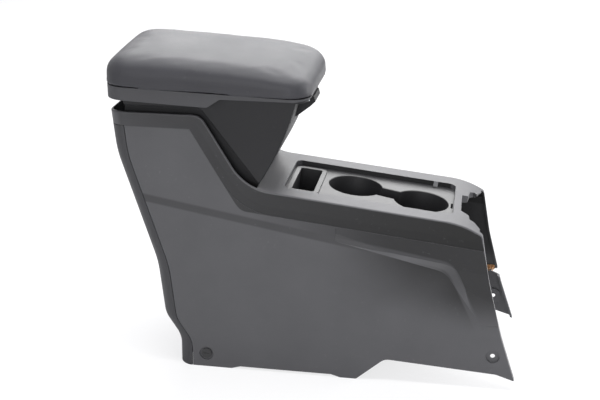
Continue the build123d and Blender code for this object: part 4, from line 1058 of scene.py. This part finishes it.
@dataclass
class MatRibs:
    """Rows of low ribs on the rubber mats, which keep keys and cups from sliding."""

    pitch_mm: float = 4.0
    width_mm: float = 1.6
    height_mm: float = 0.8
    margin_mm: float = 3.0

    def tree(self) -> GeometryNodeTree:
        """Makes the node tree that fills a length with ribs.

        Returns:
            The tree, with the ribs' sizes as named inputs.
        """
        group, sizes = sized_tree("mat_ribs", ("Length", "Width", "Pitch", "Rib Width", "Rib Height"))
        count = add_node(group, "ShaderNodeMath", "DIVIDE", i0=sizes["Length"], i1=sizes["Pitch"]).outputs[0]
        whole = add_node(group, "ShaderNodeMath", "FLOOR", i0=count).outputs[0]
        start = add_node(group, "ShaderNodeMath", "MULTIPLY", i0=sizes["Length"], i1=-0.5).outputs[0]
        first = add_node(group, "ShaderNodeCombineXYZ", X=start).outputs[0]
        step = add_node(group, "ShaderNodeCombineXYZ", X=sizes["Pitch"]).outputs[0]
        row = add_node(
            group, "GeometryNodeMeshLine", {"mode": "OFFSET"}, Count=whole, Start_Location=first, Offset=step
        ).outputs["Mesh"]
        size = add_node(
            group, "ShaderNodeCombineXYZ", X=sizes["Rib Width"], Y=sizes["Width"], Z=sizes["Rib Height"]
        ).outputs[0]
        rib = add_node(group, "GeometryNodeMeshCube", Size=size).outputs["Mesh"]
        copies = add_node(group, "GeometryNodeInstanceOnPoints", Points=row, Instance=rib)
        put_out(group, copies.outputs["Instances"], sizes["Finish"])
        return group

    def build(self, node: str, finish: Material, slope: float) -> Object:
        """Lays ribs over one mat.

        Args:
            node: CAD node of the mat.
            finish: Material of the ribs.
            slope: Fall of the mat's face towards +X, as a share.

        Returns:
            The ribs as one mesh.
        """
        low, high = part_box(node)
        centre = (low + high) / 2
        top = high.z - abs(slope) * (high.x - low.x) / 2
        name = node + "_ribs"
        ribs = placed(name, bpy.data.meshes.new(name))
        values = {
            "Length": high.x - low.x - 2 * self.margin_mm * MM,
            "Width": high.y - low.y - 2 * self.margin_mm * MM,
            "Pitch": self.pitch_mm * MM,
            "Rib Width": self.width_mm * MM,
            "Rib Height": self.height_mm * MM,
            "Finish": finish,
        }
        grown(ribs, self.tree(), values)
        turn = Euler((0, math.atan(slope), 0)).to_matrix()
        for vertex in ribs.data.vertices:
            vertex.co = turn @ vertex.co + Vector((centre.x, centre.y, top + self.height_mm * MM / 4))
        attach(ribs, "console")
        return ribs


@dataclass(frozen=True)
class Lamp:
    """One soft box: its place and aim in metres, its size and its power in watts."""

    name: str
    place: Triple
    aim: Triple
    width: float
    depth: float
    power: float


@dataclass
class Studio:
    """The photograph's camera, its white sweep and its soft light."""

    place_mm: Triple = (228.9, -1553.6, 844.6)
    pitch_deg: float = 21.0
    yaw_deg: float = 9.5
    focal_px: float = 1100.0
    frame_px: float = 600.0
    sensor_mm: float = 36.0
    sight_m: float = 40.0
    lamps: tuple[Lamp, ...] = (
        Lamp("overhead", (0.1, 0.7, 2.3), (0.0, 0.0, 0.3), 2.4, 2.2, 56.0),
        Lamp("strip", (0.15, -0.35, 2.2), (0.1, 0.0, 0.3), 1.6, 0.25, 22.0),
        Lamp("back_glow", (0.0, 3.1, 1.95), (0.0, 0.0, 0.35), 3.2, 1.9, 76.0),
        Lamp("front_fill", (0.0, -2.5, 0.8), (0.1, 0.0, 0.15), 1.4, 0.9, 23.0),
        Lamp("right_glow", (2.6, 1.6, 0.9), (0.1, 0.0, 0.25), 1.4, 1.4, 40.0),
    )
    fill: float = 0.2
    paper_m: float = 9.0
    paper_glow: float = 0.77
    paper_cloud: Pattern = Pattern(1.2, 2.0, 0.5, (0.3, 0.7))
    paper_tone: Pair = (0.97, 1.0)

    def camera(self) -> None:
        """Sets up the camera."""
        data = bpy.data.cameras.new("camera")
        data.sensor_width = self.sensor_mm
        data.sensor_fit = "HORIZONTAL"
        data.lens = self.focal_px / self.frame_px * self.sensor_mm
        data.clip_end = self.sight_m
        camera = placed("camera", data)
        camera.location = Vector(self.place_mm) * MM
        camera.rotation_euler = (math.radians(90 - self.pitch_deg), 0, math.radians(self.yaw_deg))
        bpy.context.scene.camera = camera

    def light(self) -> None:
        """Sets up the soft boxes and the white room."""
        for lamp in self.lamps:
            data = bpy.data.lights.new(lamp.name, "AREA")
            data.shape = "RECTANGLE"
            data.size = lamp.width
            data.size_y = lamp.depth
            data.energy = lamp.power
            box = placed(lamp.name, data)
            box.location = lamp.place
            box.rotation_euler = (Vector(lamp.aim) - Vector(lamp.place)).to_track_quat("-Z", "Y").to_euler()
            box.visible_camera = False
        world = bpy.data.worlds.new("white_room")
        world.use_nodes = True
        tree = world.node_tree
        tree.nodes.clear()
        rays = add_node(tree, "ShaderNodeLightPath").outputs
        seen = rays["Is Camera Ray"]
        for other in ("Is Glossy Ray", "Is Transmission Ray"):
            seen = add_node(tree, "ShaderNodeMath", "MAXIMUM", i0=seen, i1=rays[other]).outputs[0]
        soft = add_node(tree, "ShaderNodeBackground", Color=linear("#f6f6f8"), Strength=self.fill)
        white = add_node(tree, "ShaderNodeBackground", Color=linear("#ffffff"), Strength=1.0)
        mixed = add_node(tree, "ShaderNodeMixShader", i0=seen, i1=soft.outputs[0], i2=white.outputs[0])
        add_node(tree, "ShaderNodeOutputWorld", Surface=mixed.outputs[0])
        bpy.context.scene.world = world

    def floor(self) -> None:
        """Lays the white paper that the console stands on."""
        material = bpy.data.materials.new("white_paper_sweep")
        material.use_nodes = True
        tree = material.node_tree
        tree.nodes.clear()
        camera_ray = add_node(tree, "ShaderNodeLightPath").outputs["Is Camera Ray"]
        place = add_node(tree, "ShaderNodeTexCoord").outputs["Object"]
        tone = self.paper_cloud.spread(tree, place, self.paper_tone)[0]
        toned = {"data_type": "RGBA", "blend_type": "MULTIPLY"}
        paper = add_node(tree, "ShaderNodeMix", toned, i0=1.0, i6=linear("#f3f3f4"), i7=tone).outputs[2]
        matt = add_node(tree, "ShaderNodeBsdfDiffuse", Color=paper).outputs[0]
        half = add_node(tree, "ShaderNodeBsdfDiffuse", Color=linear("#8c8c8d")).outputs[0]
        glow = add_node(tree, "ShaderNodeEmission", Color=linear("#fafafb"), Strength=self.paper_glow).outputs[0]
        lifted = add_node(tree, "ShaderNodeAddShader", i0=half, i1=glow).outputs[0]
        mixed = add_node(tree, "ShaderNodeMixShader", i0=camera_ray, i1=matt, i2=lifted).outputs[0]
        add_node(tree, "ShaderNodeOutputMaterial", Surface=mixed)
        size = self.paper_m
        corners = [(-size, -size, 0), (size, -size, 0), (size, size, 0), (-size, size, 0)]
        mesh_object("paper_sweep", corners, [(0, 1, 2, 3)], material)

    def build(self) -> None:
        """Builds the whole studio."""
        self.camera()
        self.light()
        self.floor()
        bpy.context.scene.view_settings.view_transform = "Standard"


@dataclass
class SubAssembly:
    """Pieces that belong together, with the finish of each CAD node."""

    finishes: ClassVar[dict[str, Finish]] = {}

    def build(self, nodes: dict[str, Object], shelf: MaterialShelf) -> None:
        """Dresses the nodes, and makes and reports the pieces that only the looks have.

        Args:
            nodes: CAD nodes by name.
            shelf: The materials.
        """
        shelf.dress(nodes, self.finishes)
        for thing in self.pieces(nodes, shelf):
            log.info("%s: %d faces", thing.name, len(thing.data.polygons))

    def pieces(self, nodes: dict[str, Object], shelf: MaterialShelf) -> list[Object]:
        """Makes no piece of its own."""
        return []


@dataclass
class BodyShell(SubAssembly):
    """The main moulding with its rear cover, floor retainers and the front opening's clips."""

    finishes: ClassVar[dict[str, Finish]] = {
        "console_body": BODY_ABS,
        "rear_panel": COVER_ABS,
        "floor_retainers": NYLON,
        "panel_clips": CLIP_STEEL,
        "harness_clip": ACETAL,
    }


@dataclass
class CupTray(SubAssembly):
    """The cup holder insert and the pocket bin, with their mats and screws."""

    mat_fall: float = 0.108
    finishes: ClassVar[dict[str, Finish]] = {
        "cup_holder_insert": TRAY_PP,
        "pocket_bin": TRAY_PP,
        "pocket_mat": MAT_RUBBER,
        "cup_mats": MAT_RUBBER,
    }

    def pieces(self, nodes: dict[str, Object], shelf: MaterialShelf) -> list[Object]:
        """Ribs the pocket's mat and threads the insert's screws."""
        ribs = MatRibs().build("pocket_mat", shelf.get(MAT_RUBBER), self.mat_fall)
        return [ribs, PanScrews().build(nodes["insert_screws"], "console", shelf.get(ZINC_STEEL))]


@dataclass
class StorageBin(SubAssembly):
    """The deep box under the armrest, with its mat, hinge bracket, pin and latch striker."""

    finishes: ClassVar[dict[str, Finish]] = {
        "storage_box": BOX_ABS,
        "storage_mat": MAT_RUBBER,
        "hinge_bracket": ZINC_STEEL,
        "hinge_pin": ZINC_STEEL,
        "latch_striker": ZINC_STEEL,
    }

    def pieces(self, nodes: dict[str, Object], shelf: MaterialShelf) -> list[Object]:
        """Ribs the box's mat and threads the screws of the box and of the hinge."""
        made = [MatRibs().build("storage_mat", shelf.get(MAT_RUBBER), 0.0)]
        for name in ("box_screws", "hinge_screws"):
            made.append(PanScrews().build(nodes[name], "console", shelf.get(ZINC_STEEL)))
        return made


@dataclass
class ArmrestLid(SubAssembly):
    """The hinged lid: hard shell, inner panel, leaf and bumpers, the padded cushion and the sprung latch."""

    finishes: ClassVar[dict[str, Finish]] = {
        "lid_shell": SHELL_ABS,
        "lid_inner_panel": BOX_ABS,
        "hinge_leaf": ZINC_STEEL,
        "lid_bumpers": MAT_RUBBER,
        "latch_lever": BOX_ABS,
        "latch_pin": ZINC_STEEL,
    }

    def pieces(self, nodes: dict[str, Object], shelf: MaterialShelf) -> list[Object]:
        """Makes the cushion and the latch's coil, and threads the leaf's screws."""
        made = [ArmrestCushion().build(shelf), LatchSpring().build(shelf.get(ZINC_STEEL))]
        return [*made, PanScrews().build(nodes["lid_screws"], "lid", shelf.get(ZINC_STEEL))]


def main() -> None:
    """Builds the scene, one sub-assembly after another."""
    logging.basicConfig(level=logging.INFO, format="%(message)s")
    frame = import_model()
    shelf = MaterialShelf()
    for part in (BodyShell(), CupTray(), StorageBin(), ArmrestLid()):
        part.build(frame["nodes"], shelf)
    Studio().build()


if __name__ == "__main__":
    main()
